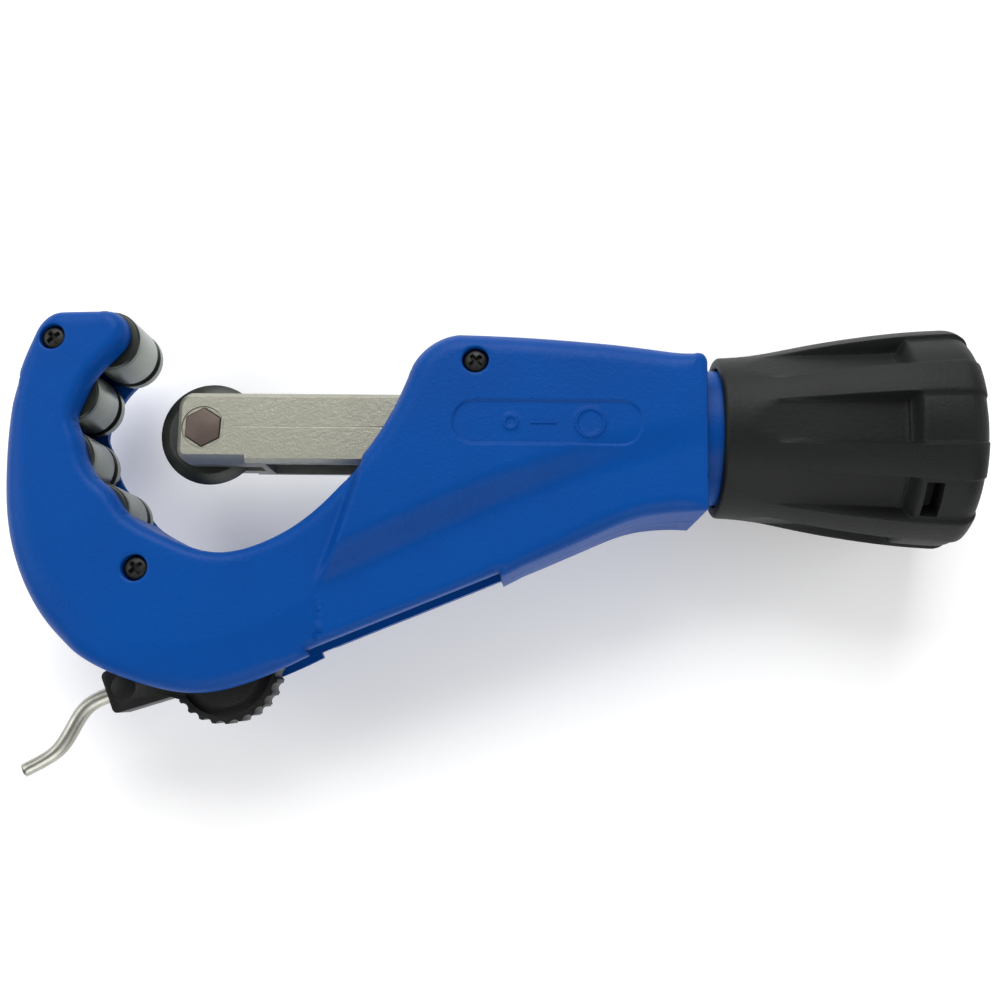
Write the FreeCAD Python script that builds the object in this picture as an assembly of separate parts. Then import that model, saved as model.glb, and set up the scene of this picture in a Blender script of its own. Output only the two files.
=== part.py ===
# Telescopic tube cutter with a slide-out swivel deburring blade.
# Lies on its side: +X runs along the feed axis towards the knob, +Y is the upper edge of the
# handle, +Z is the thickness.  The origin is the centre of the largest pipe, seated on the two
# outer rollers, in the plane where the two body shells meet.  Millimetres.
import FreeCAD, Part
import os
from math import atan2, cos, degrees, pi, radians, sin, sqrt

# ---------------------------------------------------------------- driving sizes
pipe_max = 45.0            # largest pipe the jaw takes
roller_dia = 12.3
roller_len = 16.0
roller_outer_y = 17.75     # outer rollers, above and below the feed axis
roller_inner_y = 6.8       # inner rollers
roller_step_x = 7.7        # inner rollers sit this much deeper in the jaw
pin_dia = 4.0
head_half = 12.4           # half thickness of the head
handle_half = 16.0         # half thickness of the handle plateau
head_back = 41.5           # feed axis origin to the back of the head
throat_depth = 25.6        # feed axis down to the throat
belly_depth = 53.0         # feed axis down to the belly
handle_end = 97.8          # end face of the shells
neck_dia = 27.6            # half tubes of the shells that carry the knob
neck_bore = 21.4
neck_len = 20.2            # half tubes, from the end face into the knob
arm_high = 14.4            # sliding arm, height
arm_wide = 14.6            # sliding arm, thickness
arm_left = -7.9
arm_len = 71.9
arm_wall = 2.0
wheel_dia = 21.2
wheel_hub = 3.9            # thickness of the cutting wheel at its hub
axle_x = -2.7
axle_dia = 4.8
hex_flats = 6.75
screw_dia = 9.0            # feed screw, major diameter
screw_tip = 46.2
screw_pitch = 2.0          # left-hand: turning the knob clockwise closes the jaw
travel_close = 12.0
travel_open = 35.8
knob_gap = 3.2             # end face of the shells to the knob
knob_len = 49.0
knob_small_dia = 32.8
knob_large_dia = 44.6
lobes = 8
fix_dia = 3.0              # body screws
deburr_angle = 22.5        # slide direction of the deburrer
deburr_travel = 46.0
carrier_thick = 7.0
blade_dia = 3.1

# ---------------------------------------------------------------- clearances
run = 0.05                 # radial running fit
slide = 0.15               # sliding faces, each side
loose = 0.5                # free space round moving pieces

# ---------------------------------------------------------------- derived positions
roller_r = roller_dia / 2
roller_x = -sqrt((pipe_max / 2 + roller_r) ** 2 - roller_outer_y ** 2)
rollers = [(roller_x, roller_outer_y), (roller_x - roller_step_x, roller_inner_y),
           (roller_x - roller_step_x, -roller_inner_y), (roller_x, -roller_outer_y)]
gap_half = roller_len / 2 + 0.3
arm_y = arm_high / 2
arm_z = arm_wide / 2
arm_right = arm_left + arm_len
wheel_r = wheel_dia / 2
neck_end = handle_end + neck_len
knob_start = handle_end + knob_gap
knob_end = knob_start + knob_len
flange = (handle_end + 10.2, handle_end + 14.2)    # thrust flange of the feed screw
journal_end = flange[1] + 10.0
bolt_seat = journal_end + 12.0
washer_t = 1.0
track = FreeCAD.Vector(cos(radians(deburr_angle)), sin(radians(deburr_angle)), 0)
track_in = FreeCAD.Vector(-track.y, track.x, 0)
plug_at = FreeCAD.Vector(-16.8, -52.1, 0)
slot_half = 7.6            # half width of the blade slot
flange_half = 9.2          # side rails of the carrier
slot_end = 77.6            # along the track, from the plug
lip = -7.2                 # lip of the slot, across the track
ring_at = neck_end - 4.5   # ring that holds the half tubes together
ring_t = 1.4
body_screws = [(-32.8, 17.3, head_half), (-13.2, -29.1, head_half), (52.6, 12.0, handle_half)]


def v(x, y, z=0.0):
    return FreeCAD.Vector(x, y, z)


def on_track(s, n, z=0.0):
    return plug_at + track * s + track_in * n + v(0, 0, z)


def outline(start, steps):
    # Each step is a point (straight), a pair of points (arc) or a list of points (curve).
    edges = []
    here = start
    for step in steps:
        if isinstance(step, tuple):
            edges.append(Part.Arc(here, step[0], step[1]).toShape())
            here = step[1]
        elif isinstance(step, list):
            curve = Part.BSplineCurve()
            curve.interpolate([here] + step)
            edges.append(curve.toShape())
            here = step[-1]
        else:
            edges.append(Part.makeLine(here, step))
            here = step
    if (here - start).Length > 1e-6:
        edges.append(Part.makeLine(here, start))
    return Part.Face(Part.Wire(edges))


def polygon(points):
    return Part.Face(Part.makePolygon(points + [points[0]]))


def prism(face, z0, z1):
    solid = face.copy()
    solid.translate(v(0, 0, z0))
    return solid.extrude(v(0, 0, z1 - z0))


def rod(r, x0, x1, y=0.0, z=0.0):
    return Part.makeCylinder(r, x1 - x0, v(x0, y, z), v(1, 0, 0))


def peg(r, x, y, z0, z1):
    return Part.makeCylinder(r, z1 - z0, v(x, y, z0), v(0, 0, 1))


def box(x0, x1, y0, y1, z0, z1):
    return Part.makeBox(x1 - x0, y1 - y0, z1 - z0, v(x0, y0, z0))


def hexagon(flats, x, y, z0, z1, turn=0.0):
    r = flats / sqrt(3)
    pts = [v(x + r * cos(radians(turn + 60 * i)), y + r * sin(radians(turn + 60 * i))) for i in range(6)]
    return prism(polygon(pts), z0, z1)


def turned(profile):
    # profile: (along, radius) points; revolved about X
    pts = [v(a, r) for a, r in profile]
    return polygon(pts).revolve(v(0, 0, 0), v(1, 0, 0), 360)


def spun_z(profile, x, y):
    # profile: (radius, z) points; revolved about a Z axis at x, y
    solid = polygon([v(r, 0, z) for r, z in profile]).revolve(v(0, 0, 0), v(0, 0, 1), 360)
    solid.translate(v(x, y, 0))
    return solid


def eased(solid, z, make, sizes):
    # Breaks the edges that lie at height z, with the first size that leaves a sound solid.
    edges = [e for e in solid.Edges if abs(e.BoundBox.ZMin - z) < 1e-4 and abs(e.BoundBox.ZMax - z) < 1e-4]
    for size in sizes:
        try:
            result = getattr(solid, make)(size, edges)
        except Part.OCCError:
            continue
        if result.isValid() and len(result.Solids) == 1:
            return result
    return solid


parts = {}

# ---------------------------------------------------------------- body shells
step_x = handle_end - 97.8      # the rear of the outline follows the end face


def body_outline():
    corner = on_track(slot_end, lip)
    return outline(v(-31.2, 23.1), [
        v(-24.2, 23.3),
        (v(-18.6, 20.6), v(-19.6, 14.2)),
        [v(-24.3, 9.2), v(-27.4, 0.6), v(-24.9, -7.2), v(-19.6, -14.0), v(-12.2, 5.0 - throat_depth),
         v(1.0, -throat_depth), v(12.5, 2.6 - throat_depth), v(21.0, -17.8), v(28.5, -10.0),
         v(34.4, -0.8), v(39.0, 9.4)],
        (v(41.9, 14.7), v(49.0, 18.3)),
        (v(73.0 + step_x / 2, 17.1), v(handle_end - 1.5, 14.1)),
        v(handle_end, 12.6),
        v(handle_end, -15.6),
        v(handle_end - 1.0, -16.6),
        [v(86.0 + step_x, -18.7), v(76.0 + step_x / 2, -22.2), v(62.4, -27.9)],
        on_track(slot_end, lip - 1.2),
        corner,
        on_track(37.4, lip),
        on_track(37.4, lip - 1.2),
        [v(10.0, -50.6), v(-1.0, -belly_depth), v(-12.0, 1.8 - belly_depth), v(-22.9, -46.8),
         v(-31.0, -40.1), v(-36.7, -31.3), v(-40.2, -21.2), v(-head_back, -10.0),
         v(-head_back, 0.0), v(-39.7, 12.0), v(-37.2, 19.2)],
        (v(-34.9, 22.0), v(-31.2, 23.1)),
    ])


def plateau_outline():
    return outline(v(29.6, -11.0), [
        [v(34.9, -2.2), v(40.2, 9.4), v(43.2, 13.9), v(49.4, 16.8)],
        (v(73.0 + step_x / 2, 15.6), v(handle_end, 12.4)),
        v(handle_end, -5.3),
        [v(72.4 + step_x / 2, -12.0), v(54.0, -18.8), v(36.0, -27.4), v(23.6, -35.8)],
        [v(25.6, -25.6), v(28.0, -17.6)],
    ])


def flank_outline():
    return outline(v(60.0, -4.0), [
        v(handle_end, -4.0),
        v(handle_end, -14.6),
        [v(86.0 + step_x, -17.3), v(76.0 + step_x / 2, -20.8), v(64.0, -25.6)],
        v(60.0, -25.6),
    ])


def upper_shell():
    solid = prism(body_outline(), 0, head_half)
    for x, y in rollers:
        solid = solid.fuse(peg(4.9, x, y, 0, head_half))
    solid = solid.removeSplitter()
    solid = eased(solid, head_half, "makeChamfer", (2.0, 1.8, 1.5, 1.3, 1.0))
    plateau = prism(plateau_outline(), head_half - 3, handle_half)
    plateau = eased(plateau, handle_half, "makeFillet", (1.8, 1.5, 1.2, 0.8))
    solid = solid.fuse(plateau)
    # the flank below the plateau rises towards the end face
    flank = polygon([v(60.0, -4.0, head_half - 3), v(60.0, -4.0, head_half - 0.2),
                     v(handle_end, -4.0, handle_half - 0.6), v(handle_end, -4.0, head_half - 3)])
    flank = flank.extrude(v(0, -30, 0)).common(prism(flank_outline(), 0, 20))
    solid = solid.fuse(flank).removeSplitter()
    upper = box(-60, 140, -80, 60, 0, 40)
    solid = solid.fuse(rod(neck_dia / 2, handle_end - 4, neck_end).common(upper))
    # jaw: room for the rollers, open towards the pipe
    bay = prism(polygon([v(rollers[0][0], rollers[0][1]), v(rollers[1][0], rollers[1][1]),
                         v(rollers[2][0], rollers[2][1]), v(rollers[3][0], rollers[3][1]),
                         v(-10.0, -19.0), v(-10.0, 26.0), v(rollers[0][0], 26.0)]), -1, gap_half)
    for x, y in rollers:
        bay = bay.fuse(peg(roller_r + 0.6, x, y, -1, gap_half))
    solid = solid.cut(bay)
    # channel of the sliding arm and slot for the cutting wheel
    ready = axle_x + travel_open + wheel_r + loose
    solid = solid.cut(box(10, handle_end - 5, -arm_y - slide, arm_y + slide, -1, arm_z + slide))
    solid = solid.cut(box(10, ready, -wheel_r - loose, wheel_r + loose, -1, wheel_hub / 2 + 0.8))
    solid = solid.cut(rod(neck_bore / 2, handle_end - 6, flange[0] - washer_t - 2.5))
    # bearing of the feed screw in the neck
    solid = solid.cut(rod(screw_dia / 2 + 0.6, handle_end - 8, neck_end + 1))
    solid = solid.cut(rod(10.4, flange[0] - washer_t - 0.1, flange[1] + washer_t + 0.1))
    solid = solid.cut(rod(6.0 + run, flange[1], neck_end + 1))
    groove = rod(neck_dia / 2 + 1, ring_at, neck_end + 1)
    groove = groove.cut(rod(neck_dia / 2 - ring_t, ring_at - 1, neck_end + 2))
    solid = solid.cut(groove)
    # slot of the deburrer: blade room, plate room, rail grooves
    for s0, s1, n0, n1, half in ((-12, slot_end, -24, 2.2, slot_half),
                                 (-12, slot_end, -24, 4.6, carrier_thick / 2 + slide),
                                 (-12, slot_end, 2.4, 4.6, flange_half + slide)):
        solid = solid.cut(prism(polygon([on_track(s0, n0), on_track(s1, n0), on_track(s1, n1),
                                         on_track(s0, n1)]), -1, half))
    # hollows between the ribs
    rear = handle_end - 6.0
    for depth, points in (
            (handle_half - 3.4, [(58.5, 9.9), (rear, 9.9), (rear, 11.4), (58.5, 14.0)]),
            (head_half - 3.4, [(62, -10.2), (rear, -10.2), (rear, -13.4), (78, -18.0), (63.5, -24.0)]),
            (head_half - 3.4, [(31, -14.2), (50, -14.2), (50, -15.6), (31, -23.6)]),
            (head_half - 3.4, [(-37.0, -13), (-32.5, -13), (-31, -25), (-24, -29), (-19.0, -29),
                               (-19.0, -40.0), (-25, -38.5), (-33, -30.5)]),
            (head_half - 3.4, [(-8.0, -30.0), (8, -29.2), (16, -28.6), (16, -30.2), (-8.0, -40.0)])):
        solid = solid.cut(prism(polygon([v(x, y) for x, y in points]), -1, depth))
    # holes for the roller pins
    for x, y in rollers:
        solid = solid.cut(peg(pin_dia / 2, x, y, -1, head_half - 1.8))
    return solid


def label_recess(z):
    end = 4.3
    left, right, y = 52.6, 80.9 + step_x / 2, -0.4
    flat = outline(v(left, y - end), [v(right, y - end), (v(right + end, y), v(right, y + end)),
                                      v(left, y + end), (v(left - end, y), v(left, y - end))])
    return prism(flat, z - 0.4, z + 1)


half_shell = upper_shell()
lower = half_shell.mirror(v(0, 0, 0), v(0, 0, 1))
upper = half_shell.cut(label_recess(handle_half))
lower = lower.cut(label_recess(handle_half).mirror(v(0, 0, 0), v(0, 0, 1)))
screws = []
for x, y, face in body_screws:
    seat = face - 3.0
    upper = upper.cut(peg(fix_dia / 2 + 0.2, x, y, -1, seat + 1)).cut(peg(2.65, x, y, seat, face + 2))
    bottom = -face + 3.0
    lower = lower.cut(peg(fix_dia / 2, x, y, bottom, 1))
    screw = peg(fix_dia / 2, x, y, bottom + 1.2, seat).fuse(peg(2.35, x, y, seat, seat + 2.1))
    for turn in (0, 90):
        arm_cut = box(-1.5, 1.5, -0.3, 0.3, seat + 1.0, seat + 3)
        arm_cut.rotate(v(0, 0, 0), v(0, 0, 1), turn + 40)
        arm_cut.translate(v(x, y, 0))
        screw = screw.cut(arm_cut)
    screws.append(screw)
parts["shell_upper"] = upper
parts["shell_lower"] = lower
parts["body_screws"] = Part.makeCompound(screws)

ring = rod(neck_dia / 2, ring_at, neck_end - 0.4)
parts["neck_ring"] = ring.cut(rod(neck_dia / 2 - ring_t + 0.01, ring_at - 3, neck_end + 3))

# ---------------------------------------------------------------- rollers and pins
for i, (x, y) in enumerate(rollers):
    h = roller_len / 2
    r = roller_r
    floor = r - 0.9        # flare groove near the lower end
    drum = spun_z([(pin_dia / 2 + run, h), (r - 0.5, h), (r, h - 0.5), (r, 4.4 - h), (floor, 4.4 - h),
                   (floor, 2.3 - h), (r, 2.3 - h), (r, 0.5 - h), (r - 0.5, -h), (pin_dia / 2 + run, -h)], x, y)
    parts["roller_%d" % (i + 1)] = drum
    parts["roller_pin_%d" % (i + 1)] = peg(pin_dia / 2, x, y, 2.0 - head_half, head_half - 2.0)

# ---------------------------------------------------------------- sliding arm
arm = box(arm_left, arm_right, -arm_y, arm_y, -arm_z, arm_z)
corners = [e for e in arm.Edges if e.BoundBox.XMax < arm_left + 0.01 and e.BoundBox.ZLength > 1]
arm = arm.makeFillet(3.0, corners)
upper_edges = [e for e in arm.Edges if e.BoundBox.YMin > arm_y - 0.01 and e.BoundBox.XLength > 30]
arm = arm.makeChamfer(0.9, upper_edges)
slot_x = axle_x + wheel_r + 0.6
fork = wheel_hub / 2 + 0.25
arm = arm.cut(box(arm_left - 1, slot_x, -20, 20, -fork, fork))
arm = arm.cut(box(slot_x + 1.4, arm_right - 10.5, -20, screw_dia / 2 + 0.6, arm_wall - arm_z, arm_z - arm_wall))
nut_half = arm_z - arm_wall
arm = arm.cut(box(arm_right - 10.5, arm_right + 1, -nut_half, nut_half - 0.2, -nut_half, nut_half))
for side in (1, -1):
    outer = side * (arm_z + 0.01)
    wedge = polygon([v(arm_left - 1, -arm_y + 1.6, outer), v(arm_left - 1, -arm_y - 0.01, outer),
                     v(arm_left - 1, -arm_y - 0.01, side * (arm_z - 2.2))])
    arm = arm.cut(wedge.extrude(v(14.9, 0, 0)))
arm = arm.cut(peg(axle_dia / 2, axle_x, 0, -arm_z - 1, arm_z + 1))
arm = arm.cut(peg(4.3, axle_x, 0, arm_z - 1.8, arm_z + 1))
arm = arm.cut(peg(4.3, axle_x, 0, -arm_z - 1, 1.8 - arm_z))
parts["slide_arm"] = arm
parts["feed_nut"] = box(arm_right - 10.4, arm_right - 0.3, -nut_half, nut_half - 0.2, -nut_half, nut_half).cut(
    rod(screw_dia / 2 + 0.1, arm_right - 20, arm_right + 5))

# ---------------------------------------------------------------- cutting wheel and its axle
bore = axle_dia / 2 + run
half = wheel_hub / 2
rim = wheel_r


def wheel_profile(hole):
    return [(hole, half), (5.2, half), (5.6, half - 0.5), (8.6, half - 0.7), (rim, 0.08), (rim, -0.08),
            (8.6, 0.7 - half), (5.6, 0.5 - half), (5.2, -half), (hole, -half)]


parts["cutter_wheel"] = spun_z(wheel_profile(bore), axle_x, 0)
axle = peg(axle_dia / 2, axle_x, 0, 0.35 - arm_z, arm_z - 1.7)
axle = axle.fuse(hexagon(hex_flats, axle_x, 0, arm_z - 1.75, arm_z + 0.1, 87.5))
axle = axle.cut(peg(axle_dia / 2 + 1, axle_x, 0, 0.8 - arm_z, 1.5 - arm_z).cut(
    peg(axle_dia / 2 - 0.6, axle_x, 0, -arm_z, arm_z)))
parts["cutter_axle"] = axle
clip = peg(3.7, axle_x, 0, 0.85 - arm_z, 1.45 - arm_z).cut(peg(axle_dia / 2 - 0.58, axle_x, 0, -10, 10))
parts["axle_clip"] = clip.cut(box(axle_x + 0.5, axle_x + 8, -1.5, 1.5, -10, 0))

# ---------------------------------------------------------------- feed screw and bearings
core = screw_dia / 2 - 1.1
screw = rod(screw_dia / 2, screw_tip, flange[0] + 0.01)
point = turned([(screw_tip - 1, core), (screw_tip + 1.2, screw_dia / 2 + 0.1), (screw_tip + 1.2, 12),
                (screw_tip - 1, 12)])
screw = screw.cut(point)
screw = screw.fuse(rod(9.6, flange[0], flange[1])).fuse(rod(6.0, flange[1] - 0.01, journal_end))
flats = rod(5.4, journal_end - 0.1, bolt_seat).common(box(flange[0], bolt_seat + 6, -4.6, 4.6, -9, 9))
screw = screw.fuse(flats).removeSplitter()
screw = screw.cut(rod(2.5, journal_end + 2, bolt_seat + 2))
parts["feed_screw"] = screw
for name, x in (("thrust_washer_front", flange[0] - washer_t), ("thrust_washer_rear", flange[1])):
    x += 0.05 if x > flange[0] else -0.05
    hole = screw_dia / 2 + 0.6 if x < flange[0] else 6.0 + run
    parts[name] = rod(10.3, x, x + washer_t).cut(rod(hole, x - 1, x + 3))

# ---------------------------------------------------------------- knob
small = knob_small_dia / 2
large = knob_large_dia / 2
room = neck_dia / 2 + loose
flare = large - small
hub_at = neck_end + 1.0    # front of the hub's collar
well = bolt_seat + 2.4     # floor of the room under the end cap
grip = turned([(knob_start, room), (knob_start, small - 0.8), (knob_start + 0.8, small),
               (knob_start + 4.8, small + 0.2), (knob_start + 17.9, small + flare * 0.39),
               (knob_start + 28.1, small + flare * 0.67), (knob_start + 38.2, small + flare * 0.9),
               (knob_start + 44.3, large), (knob_start + 47.2, large - 0.6), (knob_end, large - 2.6),
               (knob_end, 17.9), (knob_end - 2.6, 17.9), (knob_end - 2.6, 15.6), (well, 15.6), (well, 9.3),
               (hub_at + 2, 9.3), (hub_at + 2, 11.3), (hub_at, 11.3), (hub_at, room)])
flute_at = knob_start + 2.5
flute_end = knob_end - 13.4
flute = outline(v(flute_at, small + 0.15), [v(flute_end, large - 4.4), v(flute_end, large + 6),
                                            v(flute_at, large + 6)])
flute.rotate(v(0, 0, 0), v(1, 0, 0), 90)
flute.translate(v(0, 4.1, 0))
flute = flute.extrude(v(0, -8.2, 0))
windows = (-45, 135)
for i in range(lobes):
    one = flute.copy()
    one.rotate(v(0, 0, 0), v(1, 0, 0), 360.0 / lobes * i)
    grip = grip.cut(one)
for turn in windows:
    window = box(knob_end - 11.7, knob_end - 7.6, -3.4, 3.4, 14, 30)
    window.rotate(v(0, 0, 0), v(1, 0, 0), -turn)
    grip = grip.cut(window)
hub_flats = 16.0
hub_hex = hexagon(hub_flats, 0, 0, 0, 15.0)
hub_hex.rotate(v(0, 0, 0), v(0, 1, 0), 90)
hub_hex.translate(v(hub_at + 2, 0, 0))
grip = grip.fuse(rod(9.4, hub_at + 2, well - 0.4).cut(hub_hex)).removeSplitter()
parts["knob_grip"] = grip
hub = hub_hex.common(rod(20, hub_at + 2, bolt_seat)).fuse(rod(11.2, hub_at + 0.1, hub_at + 2)).removeSplitter()
socket_flats = rod(5.45, hub_at, bolt_seat + 6).common(box(hub_at, bolt_seat + 6, -4.65, 4.65, -9, 9))
hub = hub.cut(rod(6.0 + run, hub_at - 5, journal_end + 0.05)).cut(socket_flats)
parts["knob_hub"] = hub
parts["knob_washer"] = rod(6.6, bolt_seat, bolt_seat + 1.2).cut(rod(2.7, bolt_seat - 4, bolt_seat + 6))
bolt = rod(2.5, bolt_seat - 8, bolt_seat + 1.25).fuse(rod(4.4, bolt_seat + 1.2, bolt_seat + 4.4))
socket = hexagon(4.0, 0, 0, 0, 3)
socket.rotate(v(0, 0, 0), v(0, 1, 0), 90)
socket.translate(v(bolt_seat + 2.2, 0, 0))
parts["knob_bolt"] = bolt.cut(socket)

# end cap: dome, spare-wheel post and two snap hooks
dome_r = 17.6
rise = 2.4
cap = turned([(knob_end - 2.5, 0), (knob_end - 2.5, dome_r), (knob_end + 0.6, dome_r),
              (knob_end + 1.3, dome_r - 1.2), (knob_end + 2.1, dome_r * 0.6), (knob_end + rise, 0)])
cap = cap.fuse(rod(2.35, knob_end - 8.8, knob_end - 2.4)).fuse(rod(4.6, knob_end - 4.1, knob_end - 2.4))
for turn in windows:
    leg = box(knob_end - 11.2, knob_end - 2.4, -2.9, 2.9, 13.6, 15.3)
    leg = leg.fuse(box(knob_end - 11.2, knob_end - 8.4, -2.9, 2.9, 15.2, 16.6))
    leg.rotate(v(0, 0, 0), v(1, 0, 0), -turn)
    cap = cap.fuse(leg)
parts["knob_cap"] = cap.removeSplitter()
spare = spun_z(wheel_profile(bore), 0, 0)
spare.rotate(v(0, 0, 0), v(0, 1, 0), 90)
spare.translate(v(knob_end - 6.1, 0, 0))
parts["spare_wheel"] = spare

# ---------------------------------------------------------------- deburrer
plate_z = carrier_thick / 2
grip_c = (20.0, -4.1)      # centre of the thumb grip on the track
grip_r = 10.8
bar = polygon([on_track(-3.4, 4.3), on_track(-3.4, -4.3), on_track(8.2, -5.3), on_track(9.6, -6.4),
               on_track(21, -6.4), on_track(27.5, -4), on_track(27.5, 4.3)])
carrier = prism(bar, -plate_z, plate_z)
nose = [e for e in carrier.Edges if e.BoundBox.ZLength > 5 and (e.CenterOfMass - on_track(-3.4, 0)).Length < 5]
carrier = carrier.makeFillet(1.1, nose)
centre = on_track(*grip_c)
thumb = peg(grip_r, centre.x, centre.y, -plate_z, plate_z)
below = prism(polygon([on_track(4, 4.3), on_track(4, -20), on_track(34, -20), on_track(34, 4.3)]), -9, 9)
thumb = thumb.common(below)
for i in range(14):
    a = radians(deburr_angle - 172 + 14.5 * i)
    thumb = thumb.cut(peg(1.15, centre.x + (grip_r + 0.5) * cos(a), centre.y + (grip_r + 0.5) * sin(a), -9, 9))
carrier = carrier.fuse(thumb).removeSplitter()
for side in (1, -1):
    z0, z1 = sorted((side * (plate_z - 1), side * (plate_z + 1)))
    rim_cut = peg(9.2, centre.x, centre.y, z0, z1).cut(peg(7.4, centre.x, centre.y, -9, 9))
    outer_side = polygon([on_track(9, -6.0), on_track(9, -20), on_track(34, -20), on_track(34, -6.0)])
    carrier = carrier.cut(rim_cut.common(prism(outer_side, -9, 9)))
rails = prism(polygon([on_track(9.5, 2.6), on_track(27.0, 2.6), on_track(27.0, 4.3), on_track(9.5, 4.3)]),
              -flange_half, flange_half)
carrier = carrier.fuse(rails).removeSplitter()
carrier = carrier.cut(Part.makeCylinder(blade_dia / 2 + run, 12.2, on_track(-4.2, 0), track))
lock_seat = blade_dia / 2 + 0.2
carrier = carrier.cut(peg(2.5, plug_at.x, plug_at.y, lock_seat, 9))
carrier = carrier.cut(peg(0.5, plug_at.x, plug_at.y, 0, 9))
parts["deburrer_carrier"] = carrier
lock = peg(2.5, plug_at.x, plug_at.y, lock_seat, plate_z)
parts["blade_lock"] = lock.fuse(peg(0.48, plug_at.x, plug_at.y, lock_seat - 0.65, lock_seat + 0.15))

path = Part.BSplineCurve()
path.interpolate([on_track(-6.2, 0), on_track(-8.8, -0.45), on_track(-11.7, -2.3), on_track(-14.6, -4.8),
                  on_track(-17.6, -6.6), on_track(-21.2, -7.4), on_track(-25.2, -7.8)],
                 InitialTangent=track * -2.5, FinalTangent=(track * -1 + track_in * -0.1) * 4)
start = Part.Wire(Part.Circle(on_track(-6.2, 0), track, blade_dia / 2).toShape())
bent = Part.Wire(path.toShape()).makePipeShell([start], True, False)
shank = Part.makeCylinder(blade_dia / 2, 6.2 + 7.6, on_track(-6.2, 0), track)
notch = Part.makeCylinder(blade_dia, 1.4, on_track(-0.7, 0), track).cut(
    Part.makeCylinder(blade_dia / 2 - 0.55, 4, on_track(-2, 0), track))
blade = shank.fuse(bent).removeSplitter().cut(notch)
ground = polygon([on_track(-18.5, -7.9), on_track(-27, -8.5), on_track(-27, -11), on_track(-18.5, -11)])
parts["deburrer_blade"] = blade.cut(prism(ground, -5, 5))

# ---------------------------------------------------------------- write
os.makedirs("parts", exist_ok=True)
for name, shape in parts.items():
    shape.exportStep("parts/%s.step" % name)
    print(name, "solids", len(shape.Solids), "valid", shape.isValid(), "volume", round(shape.Volume, 1))
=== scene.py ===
import bmesh
import bpy
import numpy as np
from math import atan2, cos, pi, radians, sin, sqrt
from mathutils import Matrix, Vector
from mathutils.geometry import delaunay_2d_cdt


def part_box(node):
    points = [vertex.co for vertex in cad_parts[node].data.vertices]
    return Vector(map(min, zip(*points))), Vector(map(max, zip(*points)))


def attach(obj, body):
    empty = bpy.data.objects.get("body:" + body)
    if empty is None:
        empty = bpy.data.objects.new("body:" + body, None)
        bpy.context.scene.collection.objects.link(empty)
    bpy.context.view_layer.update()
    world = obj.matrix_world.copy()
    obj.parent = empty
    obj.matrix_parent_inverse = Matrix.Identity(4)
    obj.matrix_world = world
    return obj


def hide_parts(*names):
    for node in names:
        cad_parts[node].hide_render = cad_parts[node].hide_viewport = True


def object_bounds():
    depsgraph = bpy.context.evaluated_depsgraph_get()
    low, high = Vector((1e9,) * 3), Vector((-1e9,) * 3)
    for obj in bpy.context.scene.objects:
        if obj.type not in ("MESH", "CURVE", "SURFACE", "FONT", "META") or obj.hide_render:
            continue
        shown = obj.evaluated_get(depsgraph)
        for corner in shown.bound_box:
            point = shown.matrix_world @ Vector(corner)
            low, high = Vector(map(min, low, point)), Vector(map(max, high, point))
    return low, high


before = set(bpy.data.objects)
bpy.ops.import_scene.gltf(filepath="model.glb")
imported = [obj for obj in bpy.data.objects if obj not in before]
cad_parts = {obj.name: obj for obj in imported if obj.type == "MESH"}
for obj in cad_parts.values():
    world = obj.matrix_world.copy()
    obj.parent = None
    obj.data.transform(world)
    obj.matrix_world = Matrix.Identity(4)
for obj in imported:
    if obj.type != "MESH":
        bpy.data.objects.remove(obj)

# Telescopic tube cutter, lying on its side: X along the feed axis, Z through the thickness.
# Sizes in the dictionaries are millimetres; meshes are turned into metres as they are made.
mm = 0.001
scene = bpy.context.scene
cadBox = [list(corner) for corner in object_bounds()]


def nodeBox(node):
    low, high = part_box(node)
    return [c / mm for c in low], [c / mm for c in high]


def nodeCentre(node):
    low, high = nodeBox(node)
    return [(a + b) / 2 for a, b in zip(low, high)]


# ---- small shape helpers

def linkMesh(name, verts, faces, material, angle=32, tidyUp=True):
    mesh = bpy.data.meshes.new(name)
    mesh.from_pydata([(x * mm, y * mm, z * mm) for x, y, z in verts], [], faces)
    if tidyUp:
        cleanMesh(mesh)
    mesh.materials.append(material)
    mesh.shade_smooth()
    mesh.set_sharp_from_angle(angle=radians(angle))
    piece = bpy.data.objects.new(name, mesh)
    scene.collection.objects.link(piece)
    return piece


def cleanMesh(mesh, merge=1e-6):
    work = bmesh.new()
    work.from_mesh(mesh)
    bmesh.ops.remove_doubles(work, verts=work.verts, dist=merge)
    bmesh.ops.dissolve_degenerate(work, edges=work.edges, dist=merge / 2)
    bmesh.ops.recalc_face_normals(work, faces=work.faces)
    work.to_mesh(mesh)
    work.free()


def applied(piece, angle=32):
    # The evaluated shape becomes the piece's own plain mesh.
    bpy.context.view_layer.update()
    shape = piece.evaluated_get(bpy.context.evaluated_depsgraph_get())
    mesh = bpy.data.meshes.new_from_object(shape)
    piece.modifiers.clear()
    old = piece.data
    piece.data = mesh
    bpy.data.meshes.remove(old)
    mesh.name = piece.name
    mesh.shade_smooth()
    mesh.set_sharp_from_angle(angle=radians(angle))
    return piece


def joined(name, parts, angle=32):
    # Several meshes of one finish become one piece.
    work = bmesh.new()
    for part in parts:
        work.from_mesh(part.data)
    mesh = bpy.data.meshes.new(name)
    work.to_mesh(mesh)
    work.free()
    for material in parts[0].data.materials:
        mesh.materials.append(material)
    for part in parts:
        bpy.data.objects.remove(part)
    mesh.shade_smooth()
    mesh.set_sharp_from_angle(angle=radians(angle))
    piece = bpy.data.objects.new(name, mesh)
    scene.collection.objects.link(piece)
    return piece


def place(piece, body, slot, *nodes):
    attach(piece, body)
    if nodes:
        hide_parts(*nodes)
    return piece


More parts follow.
